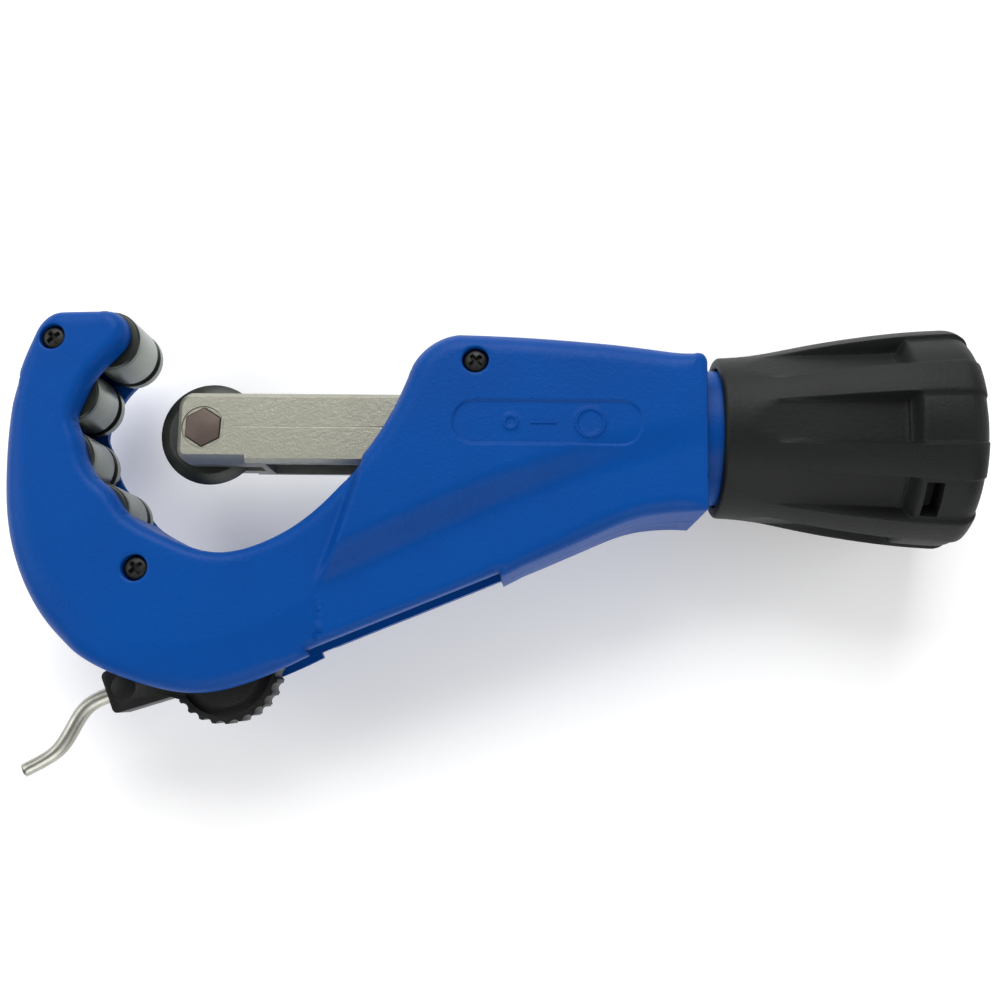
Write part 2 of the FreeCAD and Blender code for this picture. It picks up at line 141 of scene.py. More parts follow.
def smoothStep(t):
    t = np.clip(t, 0.0, 1.0)
    return t * t * (3 - 2 * t)


def splineThrough(points, spacing):
    # Natural cubic curve through the points, sampled evenly, without its last point.
    p = np.array(points, float)
    t = np.concatenate([[0.0], np.cumsum(np.linalg.norm(np.diff(p, axis=0), axis=1))])
    h = np.diff(t)
    n = len(p)
    system = np.eye(n)
    right = np.zeros_like(p)
    for i in range(1, n - 1):
        system[i, i - 1:i + 2] = h[i - 1], 2 * (h[i - 1] + h[i]), h[i]
        right[i] = 6 * ((p[i + 1] - p[i]) / h[i] - (p[i] - p[i - 1]) / h[i - 1])
    bend = np.linalg.solve(system, right)
    s = np.linspace(0, t[-1], max(2, int(round(t[-1] / spacing))) + 1)[:-1]
    i = np.clip(np.searchsorted(t, s, side="right") - 1, 0, n - 2)
    a = ((t[i + 1] - s) / h[i])[:, None]
    b = 1 - a
    curved = ((a ** 3 - a) * bend[i] + (b ** 3 - b) * bend[i + 1]) * h[i][:, None] ** 2 / 6
    return a * p[i] + b * p[i + 1] + curved


def arcThrough(start, middle, end, spacing):
    (ax, ay), (bx, by), (cx, cy) = start, middle, end
    d = 2 * (ax * (by - cy) + bx * (cy - ay) + cx * (ay - by))
    aa, bb, cc = ax ** 2 + ay ** 2, bx ** 2 + by ** 2, cx ** 2 + cy ** 2
    ux = (aa * (by - cy) + bb * (cy - ay) + cc * (ay - by)) / d
    uy = (aa * (cx - bx) + bb * (ax - cx) + cc * (bx - ax)) / d
    r = sqrt((ax - ux) ** 2 + (ay - uy) ** 2)
    a0, a1, a2 = (atan2(y - uy, x - ux) for x, y in (start, middle, end))
    turn = (a2 - a0) % (2 * pi)
    if (a1 - a0) % (2 * pi) > turn:
        turn -= 2 * pi
    a = a0 + turn * np.linspace(0, 1, max(3, int(round(abs(turn) * r / spacing))) + 1)[:-1]
    return np.column_stack([ux + r * np.cos(a), uy + r * np.sin(a)])


def softCorners(points, radius, closed=True, steps=3):
    # Rounds every corner of a profile by the radius, or less where its sides are short.
    p = [np.array(q, float) for q in points]
    out = []
    for i, here in enumerate(p):
        if not closed and i in (0, len(p) - 1):
            out.append(here)
            continue
        before, after = p[i - 1], p[(i + 1) % len(p)]
        back, ahead = before - here, after - here
        cut = min(radius, 0.45 * np.linalg.norm(back), 0.45 * np.linalg.norm(ahead))
        a = here + back / np.linalg.norm(back) * cut
        b = here + ahead / np.linalg.norm(ahead) * cut
        for t in np.linspace(0, 1, steps + 1):
            out.append(a * (1 - t) ** 2 + here * 2 * t * (1 - t) + b * t * t)
    return out


def turnedPiece(name, profile, material, axis="X", centre=(0, 0, 0), segments=96, angle=32, whole=True):
    # profile: (along, radius); whole joins its last point to its first.
    verts, faces = [], []
    count = len(profile)
    for j in range(segments):
        c, s = cos(2 * pi * j / segments), sin(2 * pi * j / segments)
        for along, r in profile:
            point = (along, r * c, r * s) if axis == "X" else (r * c, r * s, along)
            verts.append([a + b for a, b in zip(point, centre)])
    for j in range(segments):
        k = (j + 1) % segments
        for i in range(count if whole else count - 1):
            n = (i + 1) % count
            faces.append((j * count + i, j * count + n, k * count + n, k * count + i))
    return linkMesh(name, verts, faces, material, angle)


def insidePolygon(points, polygon):
    x, y = points[:, 0], points[:, 1]
    inside = np.zeros(len(points), bool)
    px, py = polygon[:, 0], polygon[:, 1]
    for i in range(len(polygon)):
        j = i - 1
        crosses = (py[i] > y) != (py[j] > y)
        if crosses.any():
            at = (px[j] - px[i]) * (y - py[i]) / (py[j] - py[i] + 1e-12) + px[i]
            inside ^= crosses & (x < at)
    return inside


def lineDistance(points, line, closed=False):
    # Signed distance (left of the line is positive), nearest segment and place along it.
    a = line if closed else line[:-1]
    b = np.roll(line, -1, axis=0) if closed else line[1:]
    best = np.full(len(points), 1e9)
    which = np.zeros(len(points), int)
    share = np.zeros(len(points))
    side = np.ones(len(points))
    for i in range(len(a)):
        d = b[i] - a[i]
        rel = points - a[i]
        t = np.clip((rel @ d) / (d @ d + 1e-12), 0, 1)
        off = rel - t[:, None] * d
        dist = np.hypot(off[:, 0], off[:, 1])
        nearer = dist < best
        best = np.where(nearer, dist, best)
        which = np.where(nearer, i, which)
        share = np.where(nearer, t, share)
        side = np.where(nearer, np.sign(d[0] * rel[:, 1] - d[1] * rel[:, 0] + 1e-12), side)
    return best * side, which, share


def grown(polygon, amount):
    # The polygon with every corner moved outwards by the amount.
    p = np.array(polygon, float)
    area = 0.5 * np.sum(p[:, 0] * np.roll(p[:, 1], -1) - np.roll(p[:, 0], -1) * p[:, 1])
    way = 1 if area > 0 else -1
    before = p - np.roll(p, 1, axis=0)
    after = np.roll(p, -1, axis=0) - p
    before /= np.linalg.norm(before, axis=1)[:, None]
    after /= np.linalg.norm(after, axis=1)[:, None]
    normal = np.column_stack([before[:, 1] + after[:, 1], -(before[:, 0] + after[:, 0])]) * way
    normal /= np.maximum(1e-9, 1 + np.sum(before * after, axis=1))[:, None]
    return p + normal * amount


def discPoints(x, y, r, count=40):
    a = np.linspace(0, 2 * pi, count, endpoint=False)
    return np.column_stack([x + r * np.cos(a), y + r * np.sin(a)])


# ---- finishes
print("finishes")


def nodeGroup(name, inputs, outputs):
    group = bpy.data.node_groups.new(name, "ShaderNodeTree")
    for label, value in inputs:
        socket = group.interface.new_socket(label, in_out="INPUT", socket_type="NodeSocketFloat")
        socket.default_value = value
    for label in outputs:
        group.interface.new_socket(label, in_out="OUTPUT", socket_type="NodeSocketFloat")
    start = group.nodes.new("NodeGroupInput")
    end = group.nodes.new("NodeGroupOutput")
    place3d = group.nodes.new("ShaderNodeTexCoord").outputs["Object"]
    return group, start, end, place3d


def mathNode(tree, operation, *values):
    node = tree.nodes.new("ShaderNodeMath")
    node.operation = operation
    for i, value in enumerate(values):
        if isinstance(value, (int, float)):
            node.inputs[i].default_value = value
        else:
            tree.links.new(value, node.inputs[i])
    return node.outputs[0]


def noiseNode(tree, vector, scale, detail=3.0, roughness=0.55):
    node = tree.nodes.new("ShaderNodeTexNoise")
    node.inputs["Detail"].default_value = detail
    node.inputs["Roughness"].default_value = roughness
    tree.links.new(vector, node.inputs["Vector"])
    if isinstance(scale, (int, float)):
        node.inputs["Scale"].default_value = scale
    else:
        tree.links.new(scale, node.inputs["Scale"])
    return node.outputs["Fac"]


def rangeNode(tree, value, low, high, newLow=0.0, newHigh=1.0):
    node = tree.nodes.new("ShaderNodeMapRange")
    for label, number in (("From Min", low), ("From Max", high), ("To Min", newLow), ("To Max", newHigh)):
        node.inputs[label].default_value = number
    tree.links.new(value, node.inputs["Value"])
    return node.outputs["Result"]


# Pebbled skin of powder coat, moulding and casting: height and a mask of its hollows
pebble, pebbleIn, pebbleOut, at = nodeGroup("pebbleSkin",
                                            [("Pebbles per metre", 1500.0), ("Fine share", 0.3)],
                                            ["Height", "Hollows"])
cells = pebble.nodes.new("ShaderNodeTexVoronoi")
cells.feature = "SMOOTH_F1"
cells.inputs["Smoothness"].default_value = 0.8
pebble.links.new(at, cells.inputs["Vector"])
pebble.links.new(pebbleIn.outputs[0], cells.inputs["Scale"])
grit = noiseNode(pebble, at, mathNode(pebble, "MULTIPLY", pebbleIn.outputs[0], 2.3))
waves = noiseNode(pebble, at, mathNode(pebble, "MULTIPLY", pebbleIn.outputs[0], 0.45), 1.0)
base = mathNode(pebble, "ADD", mathNode(pebble, "MULTIPLY", cells.outputs["Distance"], 0.6), waves)
height = mathNode(pebble, "ADD", base, mathNode(pebble, "MULTIPLY", grit, pebbleIn.outputs[1]))
pebble.links.new(height, pebbleOut.inputs[0])
pebble.links.new(rangeNode(pebble, height, 0.45, 1.25), pebbleOut.inputs[1])

# Slow clouds of handling marks and dust, with a few finer specks
handled, handledIn, handledOut, at = nodeGroup("handledSurface",
                                               [("Clouds per metre", 45.0), ("Specks", 0.4)],
                                               ["Clouds", "Specks"])
clouds = noiseNode(handled, at, handledIn.outputs[0], 4.0)
dust = noiseNode(handled, at, mathNode(handled, "MULTIPLY", handledIn.outputs[0], 38.0), 2.0, 0.7)
specks = mathNode(handled, "MULTIPLY", rangeNode(handled, dust, 0.68, 0.76), handledIn.outputs[1])
handled.links.new(rangeNode(handled, clouds, 0.3, 0.7), handledOut.inputs[0])
handled.links.new(specks, handledOut.inputs[1])

# Fine lines left by turning or grinding; the three shares pick the direction they are stretched across
toolLines, linesIn, linesOut, at = nodeGroup("toolLines", [("Lines per metre", 6000.0), ("Along X", 1.0),
                                                           ("Along Y", 1.0), ("Along Z", 1.0)], ["Height"])
stretch = toolLines.nodes.new("ShaderNodeCombineXYZ")
for i in range(3):
    toolLines.links.new(linesIn.outputs[i + 1], stretch.inputs[i])
scaled = toolLines.nodes.new("ShaderNodeVectorMath")
scaled.operation = "MULTIPLY"
toolLines.links.new(at, scaled.inputs[0])
toolLines.links.new(stretch.outputs[0], scaled.inputs[1])
toolLines.links.new(noiseNode(toolLines, scaled.outputs[0], linesIn.outputs[0], 2.0), linesOut.inputs[0])

# A thin casting or mould line in the plane Y = height, from X = start onwards
partingLine, partingIn, partingOut, at = nodeGroup("partingLine", [("Height", 0.0003), ("Start", 0.0042),
                                                                   ("Width", 0.00012)], ["Mask"])
split = partingLine.nodes.new("ShaderNodeSeparateXYZ")
partingLine.links.new(at, split.inputs[0])
wander = mathNode(partingLine, "MULTIPLY", mathNode(partingLine, "SUBTRACT", noiseNode(
    partingLine, at, 260.0, 3.0), 0.5), 0.0001)
off = mathNode(partingLine, "ADD", mathNode(partingLine, "SUBTRACT", split.outputs["Y"],
                                            partingIn.outputs[0]), wander)
near = mathNode(partingLine, "SUBTRACT", 1.0, mathNode(partingLine, "DIVIDE", mathNode(
    partingLine, "ABSOLUTE", off), partingIn.outputs[2]))
past = mathNode(partingLine, "GREATER_THAN", split.outputs["X"], partingIn.outputs[1])
partingLine.links.new(mathNode(partingLine, "MULTIPLY", mathNode(partingLine, "MAXIMUM", near, 0.0), past),
                      partingOut.inputs[0])


def finish(name, look):
    # One Principled shader: two colours mixed by a mask, roughness by the same mask, and bumps in turn.
    material = bpy.data.materials.new(name)
    material.use_nodes = True
    tree = material.node_tree
    shader = tree.nodes["Principled BSDF"]
    shader.inputs["Metallic"].default_value = look.get("metal", 0.0)
    shader.inputs["Coat Weight"].default_value = look.get("coat", 0.0)
    shader.inputs["Coat Roughness"].default_value = look.get("coatRoughness", 0.3)
    shader.inputs["Specular IOR Level"].default_value = look.get("specular", 0.5)
    shader.inputs["Anisotropic"].default_value = look.get("stretchGloss", 0.0)

    def effect(group, values):
        node = tree.nodes.new("ShaderNodeGroup")
        node.node_tree = group
        for label, value in values.items():
            node.inputs[label].default_value = value
        return node

    skin = effect(pebble, {"Pebbles per metre": look["pebbles"], "Fine share": look.get("grit", 0.3)})
    marks = effect(handled, {"Clouds per metre": look.get("clouds", 45.0), "Specks": look.get("specks", 0.3)})
    tint = tree.nodes.new("ShaderNodeMix")
    tint.data_type = "RGBA"
    tint.inputs["A"].default_value = (*look["colour"], 1)
    tint.inputs["B"].default_value = (*look["colour2"], 1)
    shade = mathNode(tree, "ADD", mathNode(tree, "MULTIPLY", skin.outputs["Hollows"],
                                           look.get("hollowShare", 0.4)),
                     mathNode(tree, "MULTIPLY", marks.outputs["Clouds"], look.get("cloudShare", 0.6)))
    tree.links.new(shade, tint.inputs["Factor"])
    colour = tint.outputs["Result"]
    speck = tree.nodes.new("ShaderNodeMix")
    speck.data_type = "RGBA"
    speck.inputs["B"].default_value = (*look.get("speckColour", (0.5, 0.5, 0.48)), 1)
    tree.links.new(marks.outputs["Specks"], speck.inputs["Factor"])
    tree.links.new(colour, speck.inputs["A"])
    colour = speck.outputs["Result"]
    bump = tree.nodes.new("ShaderNodeBump")
    bump.inputs["Strength"].default_value = look.get("bumpStrength", 0.5)
    bump.inputs["Distance"].default_value = look["bump"] * mm
    tree.links.new(skin.outputs["Height"], bump.inputs["Height"])
    normal = bump.outputs["Normal"]
    if "lines" in look:
        x, y, z = look["lines"]["shares"]
        lines = effect(toolLines, {"Lines per metre": look["lines"]["perMetre"], "Along X": x, "Along Y": y,
                                   "Along Z": z})
        ground = tree.nodes.new("ShaderNodeBump")
        ground.inputs["Strength"].default_value = 0.5
        ground.inputs["Distance"].default_value = look["lines"]["depth"] * mm
        tree.links.new(lines.outputs["Height"], ground.inputs["Height"])
        tree.links.new(normal, ground.inputs["Normal"])
        normal = ground.outputs["Normal"]
    if "parting" in look:
        seam = effect(partingLine, look["parting"])
        groove = tree.nodes.new("ShaderNodeBump")
        groove.invert = True
        groove.inputs["Strength"].default_value = 1.0
        groove.inputs["Distance"].default_value = 0.1 * mm
        tree.links.new(seam.outputs["Mask"], groove.inputs["Height"])
        tree.links.new(normal, groove.inputs["Normal"])
        normal = groove.outputs["Normal"]
        line = tree.nodes.new("ShaderNodeMix")
        line.data_type = "RGBA"
        line.inputs["B"].default_value = (*look["seamColour"], 1)
        tree.links.new(mathNode(tree, "MULTIPLY", seam.outputs["Mask"], 0.75), line.inputs["Factor"])
        tree.links.new(colour, line.inputs["A"])
        colour = line.outputs["Result"]
    tree.links.new(colour, shader.inputs["Base Color"])
    low, high = look["roughness"]
    rough = tree.nodes.new("ShaderNodeMapRange")
    rough.inputs["To Min"].default_value = low
    rough.inputs["To Max"].default_value = high
    tree.links.new(shade, rough.inputs["Value"])
    tree.links.new(rough.outputs["Result"], shader.inputs["Roughness"])
    tree.links.new(normal, shader.inputs["Normal"])
    return material


powderBlue = finish("powderBlue", {
    "colour": (0.0008, 0.062, 0.300), "colour2": (0.0004, 0.050, 0.250), "roughness": (0.36, 0.46),
    "pebbles": 2500.0, "bump": 0.09, "bumpStrength": 0.5, "grit": 0.15, "coat": 0.0, "specks": 0.04,
    "speckColour": (0.25, 0.35, 0.55), "specular": 0.1})
screwBlack = finish("screwBlack", {
    "colour": (0.016, 0.017, 0.015), "colour2": (0.035, 0.037, 0.033), "roughness": (0.35, 0.5), "metal": 0.6,
    "pebbles": 4200.0, "bump": 0.02, "clouds": 300.0, "specks": 0.3})
rollerSteel = finish("rollerSteel", {
    "colour": (0.29, 0.31, 0.28), "colour2": (0.23, 0.25, 0.225), "roughness": (0.28, 0.4), "metal": 1.0,
    "pebbles": 3800.0, "bump": 0.008, "clouds": 160.0, "specks": 0.1, "stretchGloss": 0.3,
    "lines": {"perMetre": 9000.0, "shares": (0.02, 0.02, 1.0), "depth": 0.012}})
armNickel = finish("armNickel", {
    "colour": (0.40, 0.40, 0.33), "colour2": (0.32, 0.32, 0.265), "roughness": (0.38, 0.5), "metal": 0.8,
    "pebbles": 2300.0, "bump": 0.09, "grit": 0.6, "clouds": 120.0, "specks": 0.1,
    "parting": {"Height": 0.0002, "Start": 0.0035, "Width": 0.00016}, "seamColour": (0.2, 0.18, 0.14)})
wheelBlack = finish("wheelBlack", {
    "colour": (0.022, 0.025, 0.022), "colour2": (0.045, 0.05, 0.045), "roughness": (0.3, 0.42), "metal": 0.75,
    "pebbles": 5200.0, "bump": 0.01, "clouds": 180.0})
axleBrown = finish("axleBrown", {
    "colour": (0.12, 0.09, 0.075), "colour2": (0.085, 0.062, 0.052), "roughness": (0.5, 0.62), "metal": 0.5,
    "pebbles": 4800.0, "bump": 0.02, "clouds": 250.0})
bearingBronze = finish("bearingBronze", {
    "colour": (0.55, 0.38, 0.17), "colour2": (0.42, 0.28, 0.12), "roughness": (0.28, 0.42), "metal": 1.0,
    "pebbles": 3000.0, "bump": 0.01, "clouds": 150.0,
    "lines": {"perMetre": 7000.0, "shares": (1.0, 0.03, 0.03), "depth": 0.01}})
knobBlack = finish("knobBlack", {
    "colour": (0.0050, 0.0064, 0.0056), "colour2": (0.0080, 0.0098, 0.0086), "roughness": (0.44, 0.56),
    "pebbles": 2700.0, "bump": 0.11, "grit": 0.7, "clouds": 70.0, "specks": 0.0, "specular": 0.2})
mouldBlack = finish("mouldBlack", {
    "colour": (0.0050, 0.0054, 0.0050), "colour2": (0.0085, 0.0090, 0.0085), "roughness": (0.38, 0.5),
    "pebbles": 2600.0, "bump": 0.04, "grit": 0.5, "clouds": 90.0, "specks": 0.2, "specular": 0.3})
bladeSteel = finish("bladeSteel", {
    "colour": (0.46, 0.46, 0.41), "colour2": (0.36, 0.36, 0.32), "roughness": (0.3, 0.45), "metal": 1.0,
    "pebbles": 3600.0, "bump": 0.012, "clouds": 190.0,
    "lines": {"perMetre": 5200.0, "shares": (1.0, 1.0, 1.0), "depth": 0.01}})
screwSteel = finish("screwSteel", {
    "colour": (0.50, 0.50, 0.48), "colour2": (0.40, 0.40, 0.38), "roughness": (0.28, 0.4), "metal": 1.0,
    "pebbles": 3000.0, "bump": 0.01, "clouds": 150.0,
    "lines": {"perMetre": 6000.0, "shares": (1.0, 0.03, 0.03), "depth": 0.012}})

# ---- geometry node trees

def geometryTree(name, inputs):
    tree = bpy.data.node_groups.new(name, "GeometryNodeTree")
    tree.is_modifier = True
    tree.interface.new_socket("Geometry", in_out="INPUT", socket_type="NodeSocketGeometry")
    for label, kind, value in inputs:
        socket = tree.interface.new_socket(label, in_out="INPUT", socket_type="NodeSocket" + kind)
        if value is not None:
            socket.default_value = value
    tree.interface.new_socket("Geometry", in_out="OUTPUT", socket_type="NodeSocketGeometry")
    return tree, tree.nodes.new("NodeGroupInput"), tree.nodes.new("NodeGroupOutput")


def socketId(tree, label):
    return next(s.identifier for s in tree.interface.items_tree if s.name == label and s.in_out == "INPUT")


def grownBy(tree, piece, values):
    modifier = piece.modifiers.new("grow", "NODES")
    modifier.node_group = tree
    for label, value in values.items():
        modifier[socketId(tree, label)] = value
    return piece


# Repeats the piece itself round the X axis
ringTree, ringIn, ringOut = geometryTree("repeatRoundAxis", [
    ("Count", "Int", 8), ("First Angle", "Float", 0.0), ("Step Angle", "Float", 0.785),
    ("Finish", "Material", None)])
line = ringTree.nodes.new("GeometryNodeMeshLine")
line.inputs["Offset"].default_value = (0, 0, 0)
index = ringTree.nodes.new("GeometryNodeInputIndex")
angleOf = ringTree.nodes.new("ShaderNodeMath")
angleOf.operation = "MULTIPLY_ADD"
turnOf = ringTree.nodes.new("ShaderNodeCombineXYZ")
onPoints = ringTree.nodes.new("GeometryNodeInstanceOnPoints")
realize = ringTree.nodes.new("GeometryNodeRealizeInstances")
weld = ringTree.nodes.new("GeometryNodeMergeByDistance")
weld.inputs["Distance"].default_value = 2e-6
paint = ringTree.nodes.new("GeometryNodeSetMaterial")
for a, b in ((ringIn.outputs["Count"], line.inputs["Count"]), (index.outputs[0], angleOf.inputs[0]),
             (ringIn.outputs["Step Angle"], angleOf.inputs[1]),
             (ringIn.outputs["First Angle"], angleOf.inputs[2]),
             (angleOf.outputs[0], turnOf.inputs["X"]), (line.outputs["Mesh"], onPoints.inputs["Points"]),
             (ringIn.outputs["Geometry"], onPoints.inputs["Instance"]),
             (turnOf.outputs[0], onPoints.inputs["Rotation"]),
             (onPoints.outputs[0], realize.inputs[0]), (realize.outputs[0], weld.inputs["Geometry"]),
             (weld.outputs[0], paint.inputs["Geometry"]),
             (ringIn.outputs["Finish"], paint.inputs["Material"]),
             (paint.outputs[0], ringOut.inputs[0])):
    ringTree.links.new(a, b)

# Sets a copy of another object on every point of this one
spotTree, spotIn, spotOut = geometryTree("setOnSpots", [
    ("Part", "Object", None), ("Turn", "Float", 0.0), ("Finish", "Material", None)])
partInfo = spotTree.nodes.new("GeometryNodeObjectInfo")
turnOf = spotTree.nodes.new("ShaderNodeCombineXYZ")
onPoints = spotTree.nodes.new("GeometryNodeInstanceOnPoints")
realize = spotTree.nodes.new("GeometryNodeRealizeInstances")
paint = spotTree.nodes.new("GeometryNodeSetMaterial")
for a, b in ((spotIn.outputs["Part"], partInfo.inputs["Object"]),
             (spotIn.outputs["Turn"], turnOf.inputs["Z"]),
             (spotIn.outputs["Geometry"], onPoints.inputs["Points"]),
             (partInfo.outputs["Geometry"], onPoints.inputs["Instance"]),
             (turnOf.outputs[0], onPoints.inputs["Rotation"]), (onPoints.outputs[0], realize.inputs[0]),
             (realize.outputs[0], paint.inputs["Geometry"]),
             (spotIn.outputs["Finish"], paint.inputs["Material"]),
             (paint.outputs[0], spotOut.inputs[0])):
    spotTree.links.new(a, b)

# Sweeps a round bar along this object's edges
barTree, barIn, barOut = geometryTree("barAlongPath", [
    ("Radius", "Float", 0.001), ("Sides", "Int", 24), ("Finish", "Material", None)])
toCurve = barTree.nodes.new("GeometryNodeMeshToCurve")
circle = barTree.nodes.new("GeometryNodeCurvePrimitiveCircle")
sweep = barTree.nodes.new("GeometryNodeCurveToMesh")
sweep.inputs["Fill Caps"].default_value = True
realize = barTree.nodes.new("GeometryNodeRealizeInstances")
paint = barTree.nodes.new("GeometryNodeSetMaterial")
for a, b in ((barIn.outputs["Geometry"], toCurve.inputs[0]),
             (barIn.outputs["Radius"], circle.inputs["Radius"]),
             (barIn.outputs["Sides"], circle.inputs["Resolution"]),
             (toCurve.outputs[0], sweep.inputs["Curve"]),
             (circle.outputs[0], sweep.inputs["Profile Curve"]), (sweep.outputs[0], realize.inputs[0]),
             (realize.outputs[0], paint.inputs["Geometry"]),
             (barIn.outputs["Finish"], paint.inputs["Material"]),
             (paint.outputs[0], barOut.inputs[0])):
    barTree.links.new(a, b)


# ---- body shells
print("body shells")
shell = {
    "spacing": 0.75, "grid": 0.95, "headLevel": 12.4, "plateauRise": 3.6, "streakWidth": 2.6,
    "creaseWidth": 7.6,
    "beltSlope": 0.15, "seam": 0.16,
    "jaw": [(-19.3, 15.5), (-21.5, 13.0), (-23.4, 10.9), (-25.2, 8.2), (-26.5, 5.0), (-27.5, 2.2),
            (-27.6, 0.6),
            (-26.9, -1.2), (-25.9, -3.4), (-25.2, -6.0), (-24.1, -8.6), (-22.2, -11.2), (-19.7, -13.2),
            (-18.1, -15.2), (-16.4, -17.6), (-14.0, -19.6), (-11.0, -21.3), (-5.0, -24.0), (1.0, -25.6),
            (12.5, -23.0), (21.0, -17.3), (28.3, -9.4), (34.4, -0.8), (39.0, 9.4)],
    "belly": [(-1.0, -53.0), (-12.0, -51.2), (-22.9, -46.8), (-31.0, -40.1), (-36.7, -31.3), (-40.2, -21.2),
              (-41.5, -10.0), (-41.5, 0.0), (-39.7, 12.0), (-37.2, 19.2)],
    "streak": [(20.0, -39.0), (22.2, -32.8), (25.2, -25.4), (27.6, -17.8), (29.4, -12.0), (30.6, -7.0)],
    "crease": [(16.0, -37.0), (22.5, -33.5), (35.8, -27.2), (54.0, -18.8), (72.4, -12.0), (99.0, -5.0)],
    "belt": [(-38.4, 3.0), (-37.4, -3.0), (-36.3, -10.0), (-35.3, -16.5), (-31.5, -28.0), (-24.0, -36.5),
             (-13.9, -42.2), (-3.0, -43.6), (6.4, -41.8), (15.5, -37.6), (22.5, -33.5)],
    # edge rounding by place along the outline: x, y, width, drop
    "edges": [(-28.0, 23.4, 3.4, 3.0), (-18.6, 20.4, 2.6, 3.5), (-24.5, 9.0, 2.5, 3.5),
              (-27.6, 0.6, 2.2, 3.5),
              (-24.6, -8.0, 2.5, 3.5), (-16.6, -17.4, 2.4, 3.4), (-6.0, -23.6, 2.2, 2.8),
              (6.0, -25.0, 2.4, 2.8),
              (21.0, -17.8, 2.6, 3.0), (33.0, -3.0, 3.4, 4.6), (39.0, 9.4, 4.0, 5.4), (45.0, 17.2, 4.4, 5.8),
              (62.0, 18.2, 4.6, 6.0), (92.0, 15.6, 4.4, 5.6), (97.8, 11.0, 1.0, 0.9), (97.8, 0.0, 0.9, 0.8),
              (97.8, -12.0, 1.0, 0.9), (90.0, -18.2, 3.0, 3.2), (76.0, -22.7, 3.0, 3.2),
              (64.0, -27.6, 2.4, 2.6),
              (50.0, -34.0, 1.4, 1.4), (24.0, -44.6, 1.6, 1.6), (8.0, -51.2, 2.8, 2.6),
              (-12.0, -51.2, 3.4, 2.8),
              (-36.2, -31.0, 4.2, 4.6), (-41.5, 0.0, 4.2, 4.6), (-38.6, 16.0, 4.0, 4.4)],
    "rings": [0.06, 0.22, 0.5, 0.9, 1.4, 2.0, 2.7, 3.5, 4.4],
}
deburr = {"angle": radians(22.5), "plug": (-16.8, -52.1), "slotStart": 37.4, "slotEnd": 77.6, "lip": -7.2,
          "slotHalf": 7.6, "plateHalf": 3.65, "railHalf": 9.35}
track = np.array([cos(deburr["angle"]), sin(deburr["angle"])])
trackIn = np.array([-track[1], track[0]])


def onTrack(s, n):
    return np.array(deburr["plug"]) + track * s + trackIn * n


def bodyOutline():
    step = shell["spacing"]
    lip, start, end = deburr["lip"], deburr["slotStart"], deburr["slotEnd"]
    a, b, c, d = (onTrack(s, n) for s, n in ((end, lip - 1.2), (end, lip), (start, lip), (start, lip - 1.2)))
    belly = [tuple(d)] + [(10.0, -50.6)] + shell["belly"]
    runs = [
        splineThrough([(-31.2, 23.1), (-24.2, 23.3)], step),
        arcThrough((-24.2, 23.3), (-18.6, 20.6), (-19.3, 15.5), step),
        splineThrough(shell["jaw"], step),
        arcThrough((39.0, 9.4), (41.9, 14.7), (49.0, 18.3), step),
        arcThrough((49.0, 18.3), (73.0, 17.1), (95.4, 14.3), step * 1.5),
        arcThrough((95.4, 14.3), (97.1, 13.5), (97.8, 11.8), 0.5),
        splineThrough([(97.8, 11.8), (97.8, -16.5)], step * 1.5),
        arcThrough((97.8, -16.5), (97.6, -17.0), (97.0, -17.2), 0.3),
        splineThrough([(97.0, -17.2), (91.0, -17.5), (85.0, -18.4), (76.0, -21.9), (62.4, -27.9)], step),
        splineThrough([(62.4, -27.9), tuple(a)], step),
        splineThrough([tuple(a), tuple(b)], 0.4),
        splineThrough([tuple(b), tuple(c)], step * 1.5),
        splineThrough([tuple(c), tuple(d)], 0.4),
        splineThrough(belly, step),
        arcThrough((-37.2, 19.2), (-34.9, 22.0), (-31.2, 23.1), step)]
    return np.vstack(runs)


outline = bodyOutline()
outlineStyle = np.array([min(shell["edges"], key=lambda e: (e[0] - x) ** 2 + (e[1] - y) ** 2)[2:]
                         for x, y in outline])
for _ in range(10):
    before, after = np.roll(outlineStyle, 1, axis=0), np.roll(outlineStyle, -1, axis=0)
    outlineStyle = (before + outlineStyle * 2 + after) / 4
streak = splineThrough(shell["streak"], 1.0)
crease = splineThrough(shell["crease"], 1.0)
belt = splineThrough(shell["belt"], 1.0)
screwSpots = [(-32.8, 17.3, 9.4), (-13.2, -29.1, 9.4), (52.6, 12.0, 13.0)]    # x, y, seat height
screwHole = 2.65
label = {"x0": 52.6, "x1": 80.9, "y": -0.4, "half": 4.3, "depth": 0.42, "edge": 0.5, "raise": 0.26,
         "smallRing": (59.6, 1.25), "largeRing": (75.0, 2.75), "stroke": 0.36, "dash": (63.6, 68.4)}


def labelRelief(p):
    # Obround recess with a raised sign: a small circle, a dash and a large circle, from smallest to largest tube.
    x, y = p[:, 0], p[:, 1] - label["y"]
    out = np.hypot(np.maximum(np.abs(x - (label["x0"] + label["x1"]) / 2) - (label["x1"] - label["x0"]) / 2,
                              0), y)
    relief = -label["depth"] * smoothStep((label["half"] + label["edge"] / 2 - out) / label["edge"])
    sign = np.zeros(len(p))
    for cx, r in (label["smallRing"], label["largeRing"]):
        away = np.abs(np.hypot(x - cx, y) - r)
        sign = np.maximum(sign, smoothStep((label["stroke"] - away) / 0.16))
    a, b = label["dash"]
    away = np.hypot(np.maximum(np.abs(x - (a + b) / 2) - (b - a) / 2, 0), y)
    sign = np.maximum(sign, smoothStep((label["stroke"] - away) / 0.16))
    return relief + sign * label["raise"]


